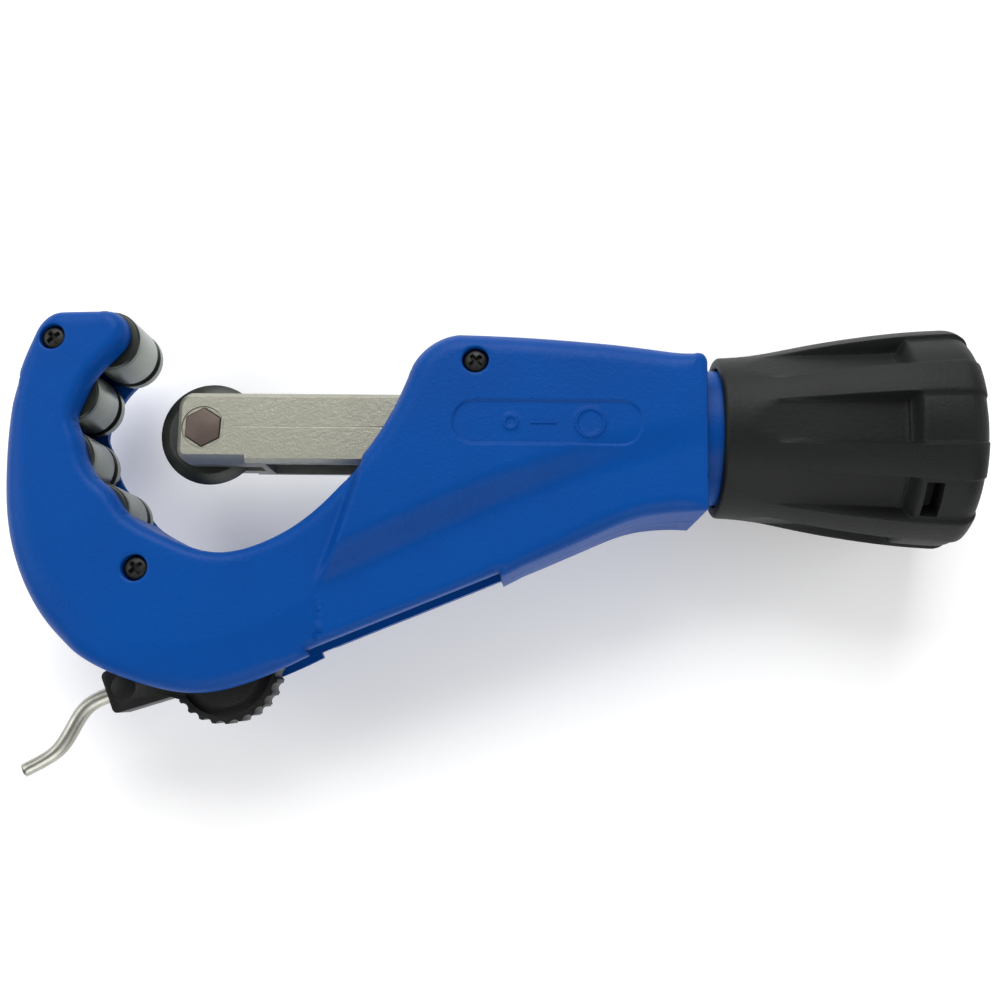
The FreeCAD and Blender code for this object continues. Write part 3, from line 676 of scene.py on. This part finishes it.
def topHeight(p, nearSide):
    distance, which, share = lineDistance(p, outline, closed=True)
    distance = np.abs(distance)
    following = np.roll(outlineStyle, -1, axis=0)
    style = outlineStyle[which] * (1 - share)[:, None] + following[which] * share[:, None]
    pastStreak = -lineDistance(p, streak)[0]
    aboveCrease = lineDistance(p, crease)[0]
    raised = smoothStep(pastStreak / shell["streakWidth"] + 0.5) * smoothStep(aboveCrease / shell["creaseWidth"])
    flank = shell["plateauRise"] * 0.9 * np.clip((p[:, 0] - 50.0) / 47.8, 0, 1) ** 1.2
    z = shell["headLevel"] + flank + (shell["plateauRise"] - flank) * raised
    beyond = -lineDistance(p, belt)[0] * (p[:, 0] < 23)
    beyond = np.where(p[:, 0] < 23, beyond, 0)
    z -= shell["beltSlope"] * (np.sqrt(np.maximum(beyond, 0) ** 2 + 0.3) - sqrt(0.3))
    t = np.clip(1 - distance / style[:, 0], 0, 1)
    z -= style[:, 1] * (1 - np.sqrt(1 - t * t))
    z += labelRelief(p)
    if nearSide:
        for x, y, seat in screwSpots:
            r = np.hypot(p[:, 0] - x, p[:, 1] - y)
            z = np.where(r < screwHole, seat, z - 0.18 * smoothStep((screwHole + 0.35 - r) / 0.35))
    return z


rollerSpots = [nodeCentre("roller_%d" % i)[:2] for i in range(1, 5)]
rollerRadius = (nodeBox("roller_1")[1][0] - nodeBox("roller_1")[0][0]) / 2
cavities = [(np.array([rollerSpots[0], rollerSpots[1], rollerSpots[2], rollerSpots[3], (-10.0, -19.0),
                       (-10.0, 26.0),
                       (rollerSpots[0][0], 26.0)]), 8.3)]
cavities += [(discPoints(x, y, rollerRadius + 0.6), 8.3) for x, y in rollerSpots]
cavities += [(np.array([(x0, -half), (x1, -half), (x1, half), (x0, half)]), z) for x0, x1, half, z in
             ((10.0, 92.8, 7.35, 7.45), (10.0, 44.2, 11.1, 2.75), (91.8, 106.0, 10.7, 9.0))]
cavities += [(np.array([onTrack(-12, near), onTrack(deburr["slotEnd"], near), onTrack(deburr["slotEnd"], far),
                        onTrack(-12, far)]), deburr[room])
             for near, far, room in ((-24, 2.2, "slotHalf"), (-24, 4.6, "plateHalf"), (2.4, 4.6, "railHalf"))]


def undersideHeight(p):
    z = np.zeros(len(p))
    for polygon, roof in cavities:
        z = np.where(insidePolygon(p, polygon), np.maximum(z, roof), z)
    return z


def skinPoints(nearSide):
    # Points that the skin is stretched over: rings along the edge, round every detail, and a loose grid.
    before = outline - np.roll(outline, 1, axis=0)
    after = np.roll(outline, -1, axis=0) - outline
    d = before / np.linalg.norm(before, axis=1)[:, None] + after / np.linalg.norm(after, axis=1)[:, None]
    area = np.sum(outline[:, 0] * np.roll(outline[:, 1], -1) - np.roll(outline[:, 0], -1) * outline[:, 1])
    inward = np.column_stack([-d[:, 1], d[:, 0]]) * (1 if area > 0 else -1)
    inward /= np.linalg.norm(inward, axis=1)[:, None] + 1e-9
    groups = []
    for ring in shell["rings"]:
        p = outline + inward * ring
        far = np.abs(lineDistance(p, outline, closed=True)[0])
        groups.append(p[(far > ring * 0.9) & insidePolygon(p, outline)])
    step = shell["grid"]
    (x0, y0), (x1, y1) = outline.min(axis=0), outline.max(axis=0)
    rows = []
    for j, y in enumerate(np.arange(y0, y1, step * 0.866)):
        xs = np.arange(x0 + (j % 2) * step / 2, x1, step)
        rows.append(np.column_stack([xs, np.full(len(xs), y)]))
    grid = np.vstack(rows)
    grid = grid[insidePolygon(grid, outline)]
    grid = grid[np.abs(lineDistance(grid, outline, closed=True)[0]) > shell["rings"][-1] + 0.4]
    details = []
    halfLength = (label["x1"] - label["x0"]) / 2
    middle = label["x0"] + halfLength
    for offset in (-0.42, -0.25, -0.08, 0.08, 0.25, 0.42):
        r = label["half"] + offset
        ends = [(middle + (halfLength if cos(a) > 0 else -halfLength) + r * cos(a), label["y"] + r * sin(a))
                for a in np.linspace(0, 2 * pi, 72, endpoint=False) + 0.02]
        sides = [(x, label["y"] + side * r) for side in (1, -1)
                 for x in np.arange(label["x0"] + 0.4, label["x1"], 0.8)]
        details += ends + sides
    for cx, r in (label["smallRing"], label["largeRing"]):
        for offset in (-0.42, -0.32, -0.2, 0.0, 0.2, 0.32, 0.42):
            details += [tuple(q) for q in discPoints(cx, label["y"], r + offset, 36 if r < 2 else 56)]
    for y in (-0.44, -0.36, -0.2, 0.0, 0.2, 0.36, 0.44):
        details += [(x, label["y"] + y) for x in np.arange(label["dash"][0] - 0.5, label["dash"][1] + 0.6,
                                                           0.25)]
    if nearSide:
        for x, y, _ in screwSpots:
            for r in (screwHole - 0.6, screwHole - 0.012, screwHole + 0.012, screwHole + 0.12,
                      screwHole + 0.24,
                      screwHole + 0.36, screwHole + 0.7):
                details += [tuple(q) for q in discPoints(x, y, r, 48)]
    run = splineThrough(shell["streak"], 0.45)
    way = np.gradient(run, axis=0)
    way = np.column_stack([-way[:, 1], way[:, 0]]) / np.linalg.norm(way, axis=1)[:, None]
    for offset in np.arange(-2.2, 2.3, 0.4):
        details += [tuple(q) for q in run + way * offset]
    details = np.array([q for q in details if insidePolygon(np.array([q]), outline)[0]])
    spots = [(x, y, screwHole + 1.0) for x, y, _ in screwSpots] if nearSide else []
    keep = np.ones(len(grid), bool)
    for x, y, r in spots:
        keep &= np.hypot(grid[:, 0] - x, grid[:, 1] - y) > r
    nearLabel = (grid[:, 0] > 47.5) & (grid[:, 0] < 86) & (np.abs(grid[:, 1] - label["y"]) < 5.2)
    nearStreak = (grid[:, 0] > 15) & (grid[:, 0] < 36) & (grid[:, 1] < -3)
    fromDetail = np.array([np.min(np.hypot(*(details - q).T)) if flag else 9.0
                           for q, flag in zip(grid, nearLabel | nearStreak)])
    grid = grid[keep & (fromDetail > 0.45)]
    return np.vstack(groups + [grid, details])


def stretched(verts, edges, border):
    # Triangles over the points, kept where they lie inside the border.
    flat, _, triangles, _, _, _ = delaunay_2d_cdt([Vector(q) for q in verts], edges, [], 0, 1e-5)
    p = np.array([tuple(q) for q in flat])
    tri = np.array(triangles)
    used, tri = np.unique(tri[insidePolygon(p[tri].mean(axis=1), border)], return_inverse=True)
    return p[used], tri.reshape(-1, 3)


def addRing(verts, edges, ring):
    first = len(verts)
    verts += [tuple(q) for q in ring]
    edges += [(first + i, first + (i + 1) % len(ring)) for i in range(len(ring))]


def borderLoop(tri):
    # Vertices round the edge of the triangles, in order.
    sides = {(int(t[i]), int(t[(i + 1) % 3])) for t in tri for i in range(3)}
    following = {a: b for a, b in sides if (b, a) not in sides}
    loop = [next(iter(following))]
    while following[loop[-1]] != loop[0]:
        loop.append(following[loop[-1]])
    return loop


def makeSkin(name, nearSide):
    side = 1 if nearSide else -1
    # underside first: flat floors with the cavities cut in as steps
    verts, edges = [], []
    addRing(verts, edges, outline)
    for polygon, _ in cavities:
        for offset in (0.012, -0.012):
            addRing(verts, edges, grown(polygon, offset))
    low, lowTri = stretched(verts, edges, outline)
    loop = borderLoop(lowTri)
    rim = low[loop]
    # outer skin over the same border
    verts, edges = [], []
    addRing(verts, edges, rim)
    if nearSide:
        for x, y, _ in screwSpots:
            for r in (screwHole - 0.012, screwHole + 0.012):
                addRing(verts, edges, discPoints(x, y, r, 48))
    verts += [tuple(q) for q in skinPoints(nearSide)]
    high, highTri = stretched(verts, edges, outline)
    top = topHeight(high, nearSide)
    roof = undersideHeight(low)
    roof = np.minimum(roof, np.maximum(topHeight(low, nearSide) - 0.35, 0))
    points = [(x, y, z) for (x, y), z in zip(high, top)]
    count = len(points)
    points += [(x, y, z) for (x, y), z in zip(low, roof)]
    faces = [tuple(t) for t in highTri] + [tuple(t[::-1] + count) for t in lowTri]
    twin = [int(np.argmin(np.hypot(*(high - q).T))) for q in rim]
    # the foot of the wall is drawn in a little, so the seam between the shells shows
    foot = len(points)
    ahead, behind = np.roll(rim, -1, axis=0), np.roll(rim, 1, axis=0)
    away = (ahead - behind) / np.linalg.norm(ahead - behind, axis=1)[:, None]
    for k, (x, y) in enumerate(rim):
        z = roof[loop[k]]
        onSeam = z < 0.01
        points.append((x, y, z + (shell["seam"] if onSeam else 0.05)))
        if onSeam:
            points[count + loop[k]] = (x - away[k][1] * shell["seam"], y + away[k][0] * shell["seam"], z)
    for k in range(len(rim)):
        n = (k + 1) % len(rim)
        faces += [(twin[n], twin[k], foot + k, foot + n),
                  (foot + n, foot + k, count + loop[k], count + loop[n])]
    points = [(x, y, side * z) for x, y, z in points]
    return linkMesh(name, points, faces, powderBlue, 38)


neckBox = nodeBox("neck_ring")
neck = {"radius": neckBox[1][1], "bore": 10.7, "start": 97.0, "end": neckBox[0][0]}
for body, nearSide, node in (("near", True, "shell_upper"), ("far", False, "shell_lower")):
    skin = makeSkin(body + "Shell", nearSide)
    place(skin, "body", "blue_body", node)
    print(body, "shell", len(skin.data.polygons))
tube = turnedPiece("neckTube", softCorners([(neck["start"], neck["bore"]), (neck["start"], neck["radius"]),
                                            (neck["end"], neck["radius"]), (neck["end"], neck["bore"])], 0.3),
                   powderBlue)
place(tube, "body", "blue_body")

# ---- body screws
print("body screws")
screw = {"radius": 2.35, "height": 2.1, "dome": 0.45, "armHalf": 0.38, "armLength": 1.5, "recess": 0.95,
         "turn": radians(40)}


def screwHead():
    # Shallow domed head with a cross recess that narrows towards its floor.
    r = screw["radius"]
    points = [tuple(q) for q in discPoints(0, 0, r, 40)] + [tuple(q) for q in discPoints(0, 0, r - 0.12, 40)]
    points += [tuple(q) for q in discPoints(0, 0, r - 0.3, 36)]
    step = 0.105
    for x in np.arange(-r, r, step):
        for y in np.arange(-r, r, step):
            if x * x + y * y < (r - 0.4) ** 2:
                points.append((x, y))
    flat, _, triangles, _, _, _ = delaunay_2d_cdt([Vector(q) for q in points], [], [], 0, 1e-5)
    p = np.array([tuple(q) for q in flat])
    d = np.hypot(p[:, 0], p[:, 1])
    z = screw["height"] - screw["dome"] * (d / r) ** 2 - 0.25 * smoothStep((d - r + 0.3) / 0.3)
    a, b = np.abs(p[:, 0]), np.abs(p[:, 1])
    for along, across in ((a, b), (b, a)):
        inArm = smoothStep((screw["armHalf"] + 0.06 - across) / 0.14) * smoothStep((screw["armLength"] - along) / 0.22)
        z = np.minimum(z, screw["height"] - 0.1 - screw["recess"] * inArm)
    z = np.where((a > 0.8) & (b > 0.8), np.maximum(z, screw["height"] - 1.2), z)
    count = len(p)
    verts = [(x, y, h) for (x, y), h in zip(p, z)]
    faces = [tuple(t) for t in triangles]
    first = len(verts)
    verts += [(x, y, 0.0) for x, y in discPoints(0, 0, r, 40)]
    faces += [(first + i, first + (i + 1) % 40, (i + 1) % 40, i) for i in range(40)]
    faces.append(tuple(first + i for i in reversed(range(40))))
    return linkMesh("screwHead", verts, faces, screwBlack, 40)


headPart = screwHead()
spots = linkMesh("bodyScrews", [(x, y, seat) for x, y, seat in screwSpots], [], screwBlack, tidyUp=False)
grownBy(spotTree, spots, {"Part": headPart, "Turn": screw["turn"], "Finish": screwBlack})
applied(spots, 40)
bpy.data.objects.remove(headPart)
place(spots, "body", "black_screw", "body_screws")

# ---- rollers
print("rollers")
roller = {"endEdge": 0.45, "grooveDepth": 0.9, "groove": (-5.7, -3.6), "nearLine": 6.9, "lineDepth": 0.12}
for i, (x, y) in enumerate(rollerSpots, 1):
    low, high = nodeBox("roller_%d" % i)
    bore = 2.05
    g0, g1 = roller["groove"]
    r, floor = rollerRadius, rollerRadius - roller["grooveDepth"]
    line = roller["nearLine"]
    profile = [(high[2], bore), (high[2], r - roller["endEdge"]), (high[2] - roller["endEdge"], r),
               (line + 0.12, r), (line, r - roller["lineDepth"]), (line - 0.12, r), (g1, r),
               (g1 - 0.1, floor),
               (g0 + 0.1, floor), (g0, r), (low[2] + roller["endEdge"], r), (low[2], r - roller["endEdge"]),
               (low[2], bore)]
    drum = turnedPiece("rollerDrum%d" % i, softCorners(profile, 0.14, steps=2), rollerSteel, "Z", (x, y, 0),
                       72)
    # The groove and the near end face with its chamfer take the black oxide finish as painted light: painted shadow in
    # the groove and a painted dark reflection on the near end face.
    drum.data.materials.append(wheelBlack)
    for face in drum.data.polygons:
        z = face.center.z / mm
        inGroove = g0 - 0.05 < z < g1 + 0.05
        if inGroove or z > high[2] - roller["endEdge"] * 0.6:
            face.material_index = 1
    place(drum, "roller_%d" % i, "bright_steel", "roller_%d" % i)

# ---- cutting wheel and spare
print("cutting wheels")
wheel = {"bore": 2.45, "hub": 5.2, "step": 5.7, "land": 8.4, "edgeHalf": 0.06}
for name, node, body, axis in (("cuttingWheel", "cutter_wheel", "wheel", "Z"),
                               ("spareWheel", "spare_wheel", "knob", "X")):
    low, high = nodeBox(node)
    k = 0 if axis == "X" else 2
    half = (high[k] - low[k]) / 2
    rim = (high[1] - low[1]) / 2
    side = [(half, wheel["bore"]), (half, wheel["hub"]), (half - 0.55, wheel["step"]),
            (half - 0.75, wheel["land"]), (wheel["edgeHalf"], rim)]
    profile = side + [(-a, r) for a, r in reversed(side)]
    disc = turnedPiece(name, softCorners(profile, 0.18, steps=2), wheelBlack, axis, nodeCentre(node), 120)
    place(disc, body, "black_oxide", node)


# ---- softened copies of the machined and moulded pieces
def softenedCopy(name, node, material, width, angle=32, flat=0.6):
    # A welded copy of the node's shape, with its sharp edges broken.
    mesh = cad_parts[node].data.copy()
    mesh.name = name
    work = bmesh.new()
    work.from_mesh(mesh)
    bmesh.ops.remove_doubles(work, verts=work.verts, dist=2e-6)
    bmesh.ops.dissolve_limit(work, angle_limit=radians(flat), verts=work.verts, edges=work.edges,
                             delimit=set())
    work.to_mesh(mesh)
    work.free()
    mesh.materials.clear()
    mesh.materials.append(material)
    piece = bpy.data.objects.new(name, mesh)
    scene.collection.objects.link(piece)
    bevel = piece.modifiers.new("edges", "BEVEL")
    bevel.width = width * mm
    bevel.segments = 2
    bevel.limit_method = "ANGLE"
    bevel.angle_limit = radians(30)
    return applied(piece, angle)


print("sliding arm, axle and clip")
for name, node, material, width, body, slot in (
        ("slidingArm", "slide_arm", armNickel, 0.28, "arm", "nickel_cast"),
        ("axlePin", "cutter_axle", axleBrown, 0.1, "arm", "brown_steel"),
        ("deburrerCarrier", "deburrer_carrier", mouldBlack, 0.22, "deburrer", "black_moulding"),
        ("bladeLock", "blade_lock", mouldBlack, 0.12, "deburrer", "black_moulding")):
    piece = softenedCopy(name, node, material, width, 12 if node == "slide_arm" else 32)
    if node == "slide_arm":
        collar = {"outer": 4.31, "flats": 7.0, "top": 0.22, "bottom": 1.7, "turn": radians(-2.5)}
        x, y = nodeCentre("cutter_wheel")[:2]
        face = nodeBox("slide_arm")[1][2]
        verts, faces = [], []
        count = 96
        for j in range(count):
            a = 2 * pi * j / count
            toSide = (a - collar["turn"] + pi / 6) % (pi / 3) - pi / 6
            inner = collar["flats"] / 2 / cos(toSide)
            for r, z in ((inner, face - collar["bottom"]), (inner, face - collar["top"] - 0.1),
                         (inner + 0.1, face - collar["top"]), (collar["outer"] - 0.12, face - collar["top"]),
                         (collar["outer"], face - collar["top"] - 0.12),
                         (collar["outer"], face - collar["bottom"])):
                verts.append((x + r * cos(a), y + r * sin(a), z))
            for i in range(6):
                k = (j + 1) % count
                faces.append((j * 6 + i, j * 6 + (i + 1) % 6, k * 6 + (i + 1) % 6, k * 6 + i))
        piece = joined(name, [piece, linkMesh("axleCollar", verts, faces, material)], 12)
    place(piece, body, slot, node)

# ---- deburring blade
print("deburring blade")
blade = {"radius": 1.55, "path": [(7.6, 0), (0.0, 0.0), (-4.5, 0.02), (-6.8, -0.05), (-8.8, -0.5),
                                  (-11.7, -2.3),
                                  (-14.6, -4.8), (-17.6, -6.6), (-21.2, -7.4), (-25.1, -7.8)]}
path = splineThrough([onTrack(s, n) for s, n in blade["path"]], 0.35)
verts = [(x, y, 0) for x, y in path]
bar = bpy.data.meshes.new("deburringBlade")
bar.from_pydata([(x * mm, y * mm, z * mm) for x, y, z in verts],
                [(i, i + 1) for i in range(len(verts) - 1)], [])
rod = bpy.data.objects.new("deburringBlade", bar)
scene.collection.objects.link(rod)
grownBy(barTree, rod, {"Radius": blade["radius"] * mm, "Sides": 28, "Finish": bladeSteel})
applied(rod)
for vertex in rod.data.vertices:
    x, y, z = (c / mm for c in vertex.co)
    s = np.array([x, y]) - np.array(deburr["plug"])
    past = -(s @ track) - 15.5
    if past > 0:
        t = min(1.0, past / 4.0)
        n = s @ trackIn
        centre = np.interp(-(s @ track), [14.6, 17.6, 21.2, 25.2], [-4.8, -6.6, -7.4, -7.8])
        squeeze = 1 - 0.1 * t
        n = centre + (n - centre) * squeeze
        s = track * (s @ track) + trackIn * n + np.array(deburr["plug"])
        vertex.co.x, vertex.co.y = s[0] * mm, s[1] * mm
        if past > 8.2:
            vertex.co.z *= max(0.45, 1 - ((past - 8.2) / 1.6) ** 2 * 0.55)
place(rod, "blade", "bright_steel", "deburrer_blade")

# ---- knob
print("knob")
gripLow, gripHigh = nodeBox("knob_grip")
knob = {"start": gripLow[0], "end": gripHigh[0], "lobes": 8, "bore": 14.3,
        "crest": [(0.0, 16.4), (4.8, 16.7), (17.9, 19.0), (28.1, 20.7), (38.2, 21.9), (44.3, 22.3)],
        "fluteStart": 4.0, "fluteEnd": 34.4, "rampEnd": 36.8, "floorStart": 16.62, "floorEnd": 17.95,
        "floorHalf": (3.7, 4.75), "wall": 0.5, "between": 0.75, "lipHeight": 0.22,
        "window": (37.5, 40.7), "windowHalf": 4.1, "windowFloor": 16.6, "windows": (-45, 135)}
crestLine = splineThrough(knob["crest"] + [(49.0, 22.5)], 0.4)


def crestAt(x):
    return np.interp(x, crestLine[:, 0], crestLine[:, 1])


def floorHalfAt(x):
    t = np.clip((x - knob["fluteStart"]) / (knob["fluteEnd"] - knob["fluteStart"]), 0, 1)
    a, b = knob["floorHalf"]
    return a + (b - a) * t


def gripRadius(x, turn, hasWindow):
    # Radius of the grip at x from its front and angle from the middle of a flute.
    crest = crestAt(x)
    across = abs(turn) * crest
    half = floorHalfAt(x)
    rib = float(smoothStep((across - half) / knob["wall"]))
    opening = float(smoothStep((x - knob["fluteStart"]) / 3.0))
    floor = np.interp(x, [knob["fluteStart"], knob["fluteEnd"]], [knob["floorStart"], knob["floorEnd"]])
    floor = crest + (min(floor, crest) - crest) * opening
    flatFloor = floor / max(0.5, cos(turn))
    land = crest - knob["between"] * float(smoothStep((x - 20) / 12))
    up = float(smoothStep((x - knob["fluteEnd"]) / (knob["rampEnd"] - knob["fluteEnd"])))
    low = min(flatFloor, land) * (1 - up) + land * up
    lip = knob["lipHeight"] * np.exp(-((x - knob["fluteEnd"] + 0.2) / 0.34) ** 2)
    radius = (low + lip) * (1 - rib) + crest * rib
    if hasWindow and knob["window"][0] < x < knob["window"][1] and across < knob["windowHalf"]:
        radius = knob["windowFloor"]
    # rounded front lip and back edge
    length = knob["end"] - knob["start"]
    front = np.clip(1 - x / 0.8, 0, 1)
    back = np.clip((x - (length - 4.0)) / 4.0, 0, 1)
    radius -= 0.8 * (1 - sqrt(1 - front ** 2)) + 3.6 * (1 - sqrt(1 - back ** 2 * 0.999))
    return radius


def gripSector(name, hasWindow):
    length = knob["end"] - knob["start"]
    stations = list(np.concatenate([[0, 0.1, 0.3, 0.55, 0.8], np.arange(1.6, 33.5, 0.9),
                                    np.arange(33.6, 37.4, 0.2),
                                    np.arange(37.8, length - 4.0, 0.9),
                                    length - 4.0 * np.array([0.8, 0.6, 0.45, 0.3, 0.2, 0.12, 0.06, 0.02,
                                                             0.0])]))
    w0, w1 = knob["window"]
    stations = sorted(s for s in stations if min(abs(s - w0), abs(s - w1)) > 0.12)
    stations = sorted(stations + [w0 - 0.03, w0 + 0.03, w1 - 0.03, w1 + 0.03])
    wall = np.linspace(0, knob["wall"], 8)
    verts, faces = [], []
    sector = 2 * pi / knob["lobes"]
    for x in stations:
        crest = crestAt(x)
        half = floorHalfAt(x)
        limit = sector / 2 * crest
        start = min(half, limit - knob["wall"] - 0.8)
        side = [1.2, 2.4, 3.3, 4.07, 4.13] + [start + w for w in wall if start + w > 4.2]
        side = sorted(side)[:13]
        while len(side) < 13:
            side.append(side[-1] + 0.02)
        crestPart = list(np.linspace(side[-1], limit, 6)[1:])
        row = [-a for a in reversed(side + crestPart)] + [0.0] + side + crestPart
        for a in row:
            turn = a / crest
            r = gripRadius(x, turn, hasWindow)
            verts.append((knob["start"] + x, r * sin(turn), r * cos(turn)))
    width = 2 * 18 + 1
    for j in range(len(stations) - 1):
        for i in range(width - 1):
            a = j * width + i
            faces.append((a, a + width, a + width + 1, a + 1))
    # end face, socket of the cap and bore close the sector
    inner = [(knob["end"], 17.85), (knob["end"] - 1.6, 17.75), (knob["end"] - 1.8, knob["bore"]),
             (knob["start"] + 0.3, knob["bore"]), (knob["start"], knob["bore"] + 0.3)]
    previous = [(len(stations) - 1) * width + i for i in range(width)]
    turns = [atan2(verts[i][1], verts[i][2]) for i in previous]
    for x, r in inner:
        first = len(verts)
        verts += [(x, r * sin(t), r * cos(t)) for t in turns]
        faces += [(previous[i], first + i, first + i + 1, previous[i + 1]) for i in range(width - 1)]
        previous = [first + i for i in range(width)]
    faces += [(previous[i], i, i + 1, previous[i + 1]) for i in range(width - 1)]
    return linkMesh(name, verts, faces, knobBlack, 40, tidyUp=False)


# the angle is measured from +Z towards +Y, so a turn about X by a takes a sector from 0 to -a
sectors = []
windowTurn = -radians(knob["windows"][0])
for hasWindow, first, step, count in ((True, windowTurn, pi, 2), (False, windowTurn + pi / 4, pi / 4, 3),
                                      (False, windowTurn + 5 * pi / 4, pi / 4, 3)):
    sector = gripSector("gripSector", hasWindow)
    grownBy(ringTree, sector, {"Count": count, "First Angle": first, "Step Angle": step, "Finish": knobBlack})
    sectors.append(applied(sector, 40))
grip = joined("knobGrip", sectors, 40)
cleanMesh(grip.data, 3e-6)
grip.data.shade_smooth()
grip.data.set_sharp_from_angle(angle=radians(40))
place(grip, "knob", "black_plastic", "knob_grip")

capHigh = nodeBox("knob_cap")[1]
cap = {"radius": 17.6, "rise": capHigh[0] - knob["end"], "bevel": 1.3}
dome = [(knob["end"] - 1.5, 0.0), (knob["end"] - 1.5, cap["radius"]), (knob["end"] + 0.35, cap["radius"]),
        (knob["end"] + 0.85, cap["radius"] - cap["bevel"])]
for t in np.linspace(0.92, 0.0, 14):
    dome.append((knob["end"] + 0.85 + (cap["rise"] - 0.85) * (1 - t * t), cap["radius"] * t))
capDome = turnedPiece("capDome", softCorners(dome[:4], 0.25, closed=False) + dome[4:], mouldBlack,
                      whole=False)
parts = [capDome]
for turn in knob["windows"]:
    hook = [(x, y, z) for x in (knob["start"] + 38.0, knob["start"] + 40.0) for y in (-2.9, 2.9)
            for z in (13.4, 19.0 if x < knob["start"] + 39 else 18.2)]
    a = radians(turn)
    verts = [(x, y * cos(a) + z * sin(a), -y * sin(a) + z * cos(a)) for x, y, z in hook]
    faces = [(0, 1, 3, 2), (4, 6, 7, 5), (0, 4, 5, 1), (2, 3, 7, 6), (1, 5, 7, 3), (0, 2, 6, 4)]
    parts.append(linkMesh("capHook", verts, faces, mouldBlack))
capPiece = joined("endCap", parts)
place(capPiece, "knob", "black_moulding", "knob_cap")

# ---- better finishes on the pieces that keep their shape
keep = {"neck_ring": screwSteel, "feed_nut": bearingBronze, "axle_clip": rollerSteel,
        "feed_screw": screwSteel,
        "thrust_washer_front": bearingBronze, "thrust_washer_rear": bearingBronze, "knob_hub": mouldBlack,
        "knob_washer": screwSteel, "knob_bolt": screwSteel}
keep.update({"roller_pin_%d" % i: rollerSteel for i in range(1, 5)})
for node, material in keep.items():
    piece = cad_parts[node]
    for materialSlot in piece.material_slots:
        materialSlot.material = material

# ---- floor, light and camera
print("floor, light and camera")
studio = {"floorHalf": 4.0, "skyStrength": 0.15, "sky": (1.0, 1.0, 1.0),
          "key": {"place": (0.0, 0.85, 0.72), "size": 0.9, "power": 13.5},
          "left": {"place": (-0.85, 0.1, 0.6), "size": 0.7, "power": 4.0},
          "low": {"place": (0.1, -0.9, 0.6), "size": 0.9, "power": 6.5},
          "right": {"place": (0.95, 0.05, 0.5), "size": 0.6, "power": 2.0}}
floorZ = cadBox[0][2] - 0.0001
half = studio["floorHalf"]
floorMesh = bpy.data.meshes.new("studioFloor")
floorMesh.from_pydata([(x, y, floorZ) for x, y in ((-half, -half), (half, -half), (half, half),
                                                   (-half, half))], [],
                      [(0, 1, 2, 3)])
floor = bpy.data.objects.new("studioFloor", floorMesh)
scene.collection.objects.link(floor)
floorPaint = bpy.data.materials.new("floorPaint")
floorPaint.use_nodes = True
floorPaint.node_tree.nodes["Principled BSDF"].inputs["Base Color"].default_value = (0.93, 0.93, 0.93, 1)
floorPaint.node_tree.nodes["Principled BSDF"].inputs["Roughness"].default_value = 0.8
floorPaint.node_tree.nodes["Principled BSDF"].inputs["Specular IOR Level"].default_value = 0.1
floorPaint.node_tree.nodes["Principled BSDF"].inputs["Emission Color"].default_value = (1, 1, 1, 1)
floorPaint.node_tree.nodes["Principled BSDF"].inputs["Emission Strength"].default_value = 0.18
floorMesh.materials.append(floorPaint)

world = bpy.data.worlds.new("softSky")
scene.world = world
world.use_nodes = True
world.node_tree.nodes["Background"].inputs["Color"].default_value = (*studio["sky"], 1)
world.node_tree.nodes["Background"].inputs["Strength"].default_value = studio["skyStrength"]
for name in ("key", "left", "low", "right"):
    lamp = bpy.data.lights.new(name + "Light", "AREA")
    lamp.energy = studio[name]["power"]
    lamp.size = studio[name]["size"]
    holder = bpy.data.objects.new(name + "Light", lamp)
    holder.location = studio[name]["place"]
    aim = Vector((0.05, -0.01, 0)) - holder.location
    holder.rotation_euler = aim.to_track_quat("-Z", "Y").to_euler()
    scene.collection.objects.link(holder)

view = {"place": (0.06343, -0.05125, 0.23554), "towards": (-0.02535, 0.15943, -0.98689),
        "up": (-0.01351, 0.99991, 0.0),
        "lens": 41.914, "sensor": 36.0}
lens = bpy.data.cameras.new("camera")
lens.lens = view["lens"]
lens.sensor_width = view["sensor"]
lens.clip_start = 0.01
cameraObject = bpy.data.objects.new("camera", lens)
back = -Vector(view["towards"]).normalized()
right = Vector(view["up"]).cross(back).normalized()
up = back.cross(right)
turned = Matrix((right, up, back)).transposed().to_4x4()
cameraObject.matrix_world = Matrix.Translation(view["place"]) @ turned
scene.collection.objects.link(cameraObject)
scene.camera = cameraObject
scene.view_settings.view_transform = "Standard"
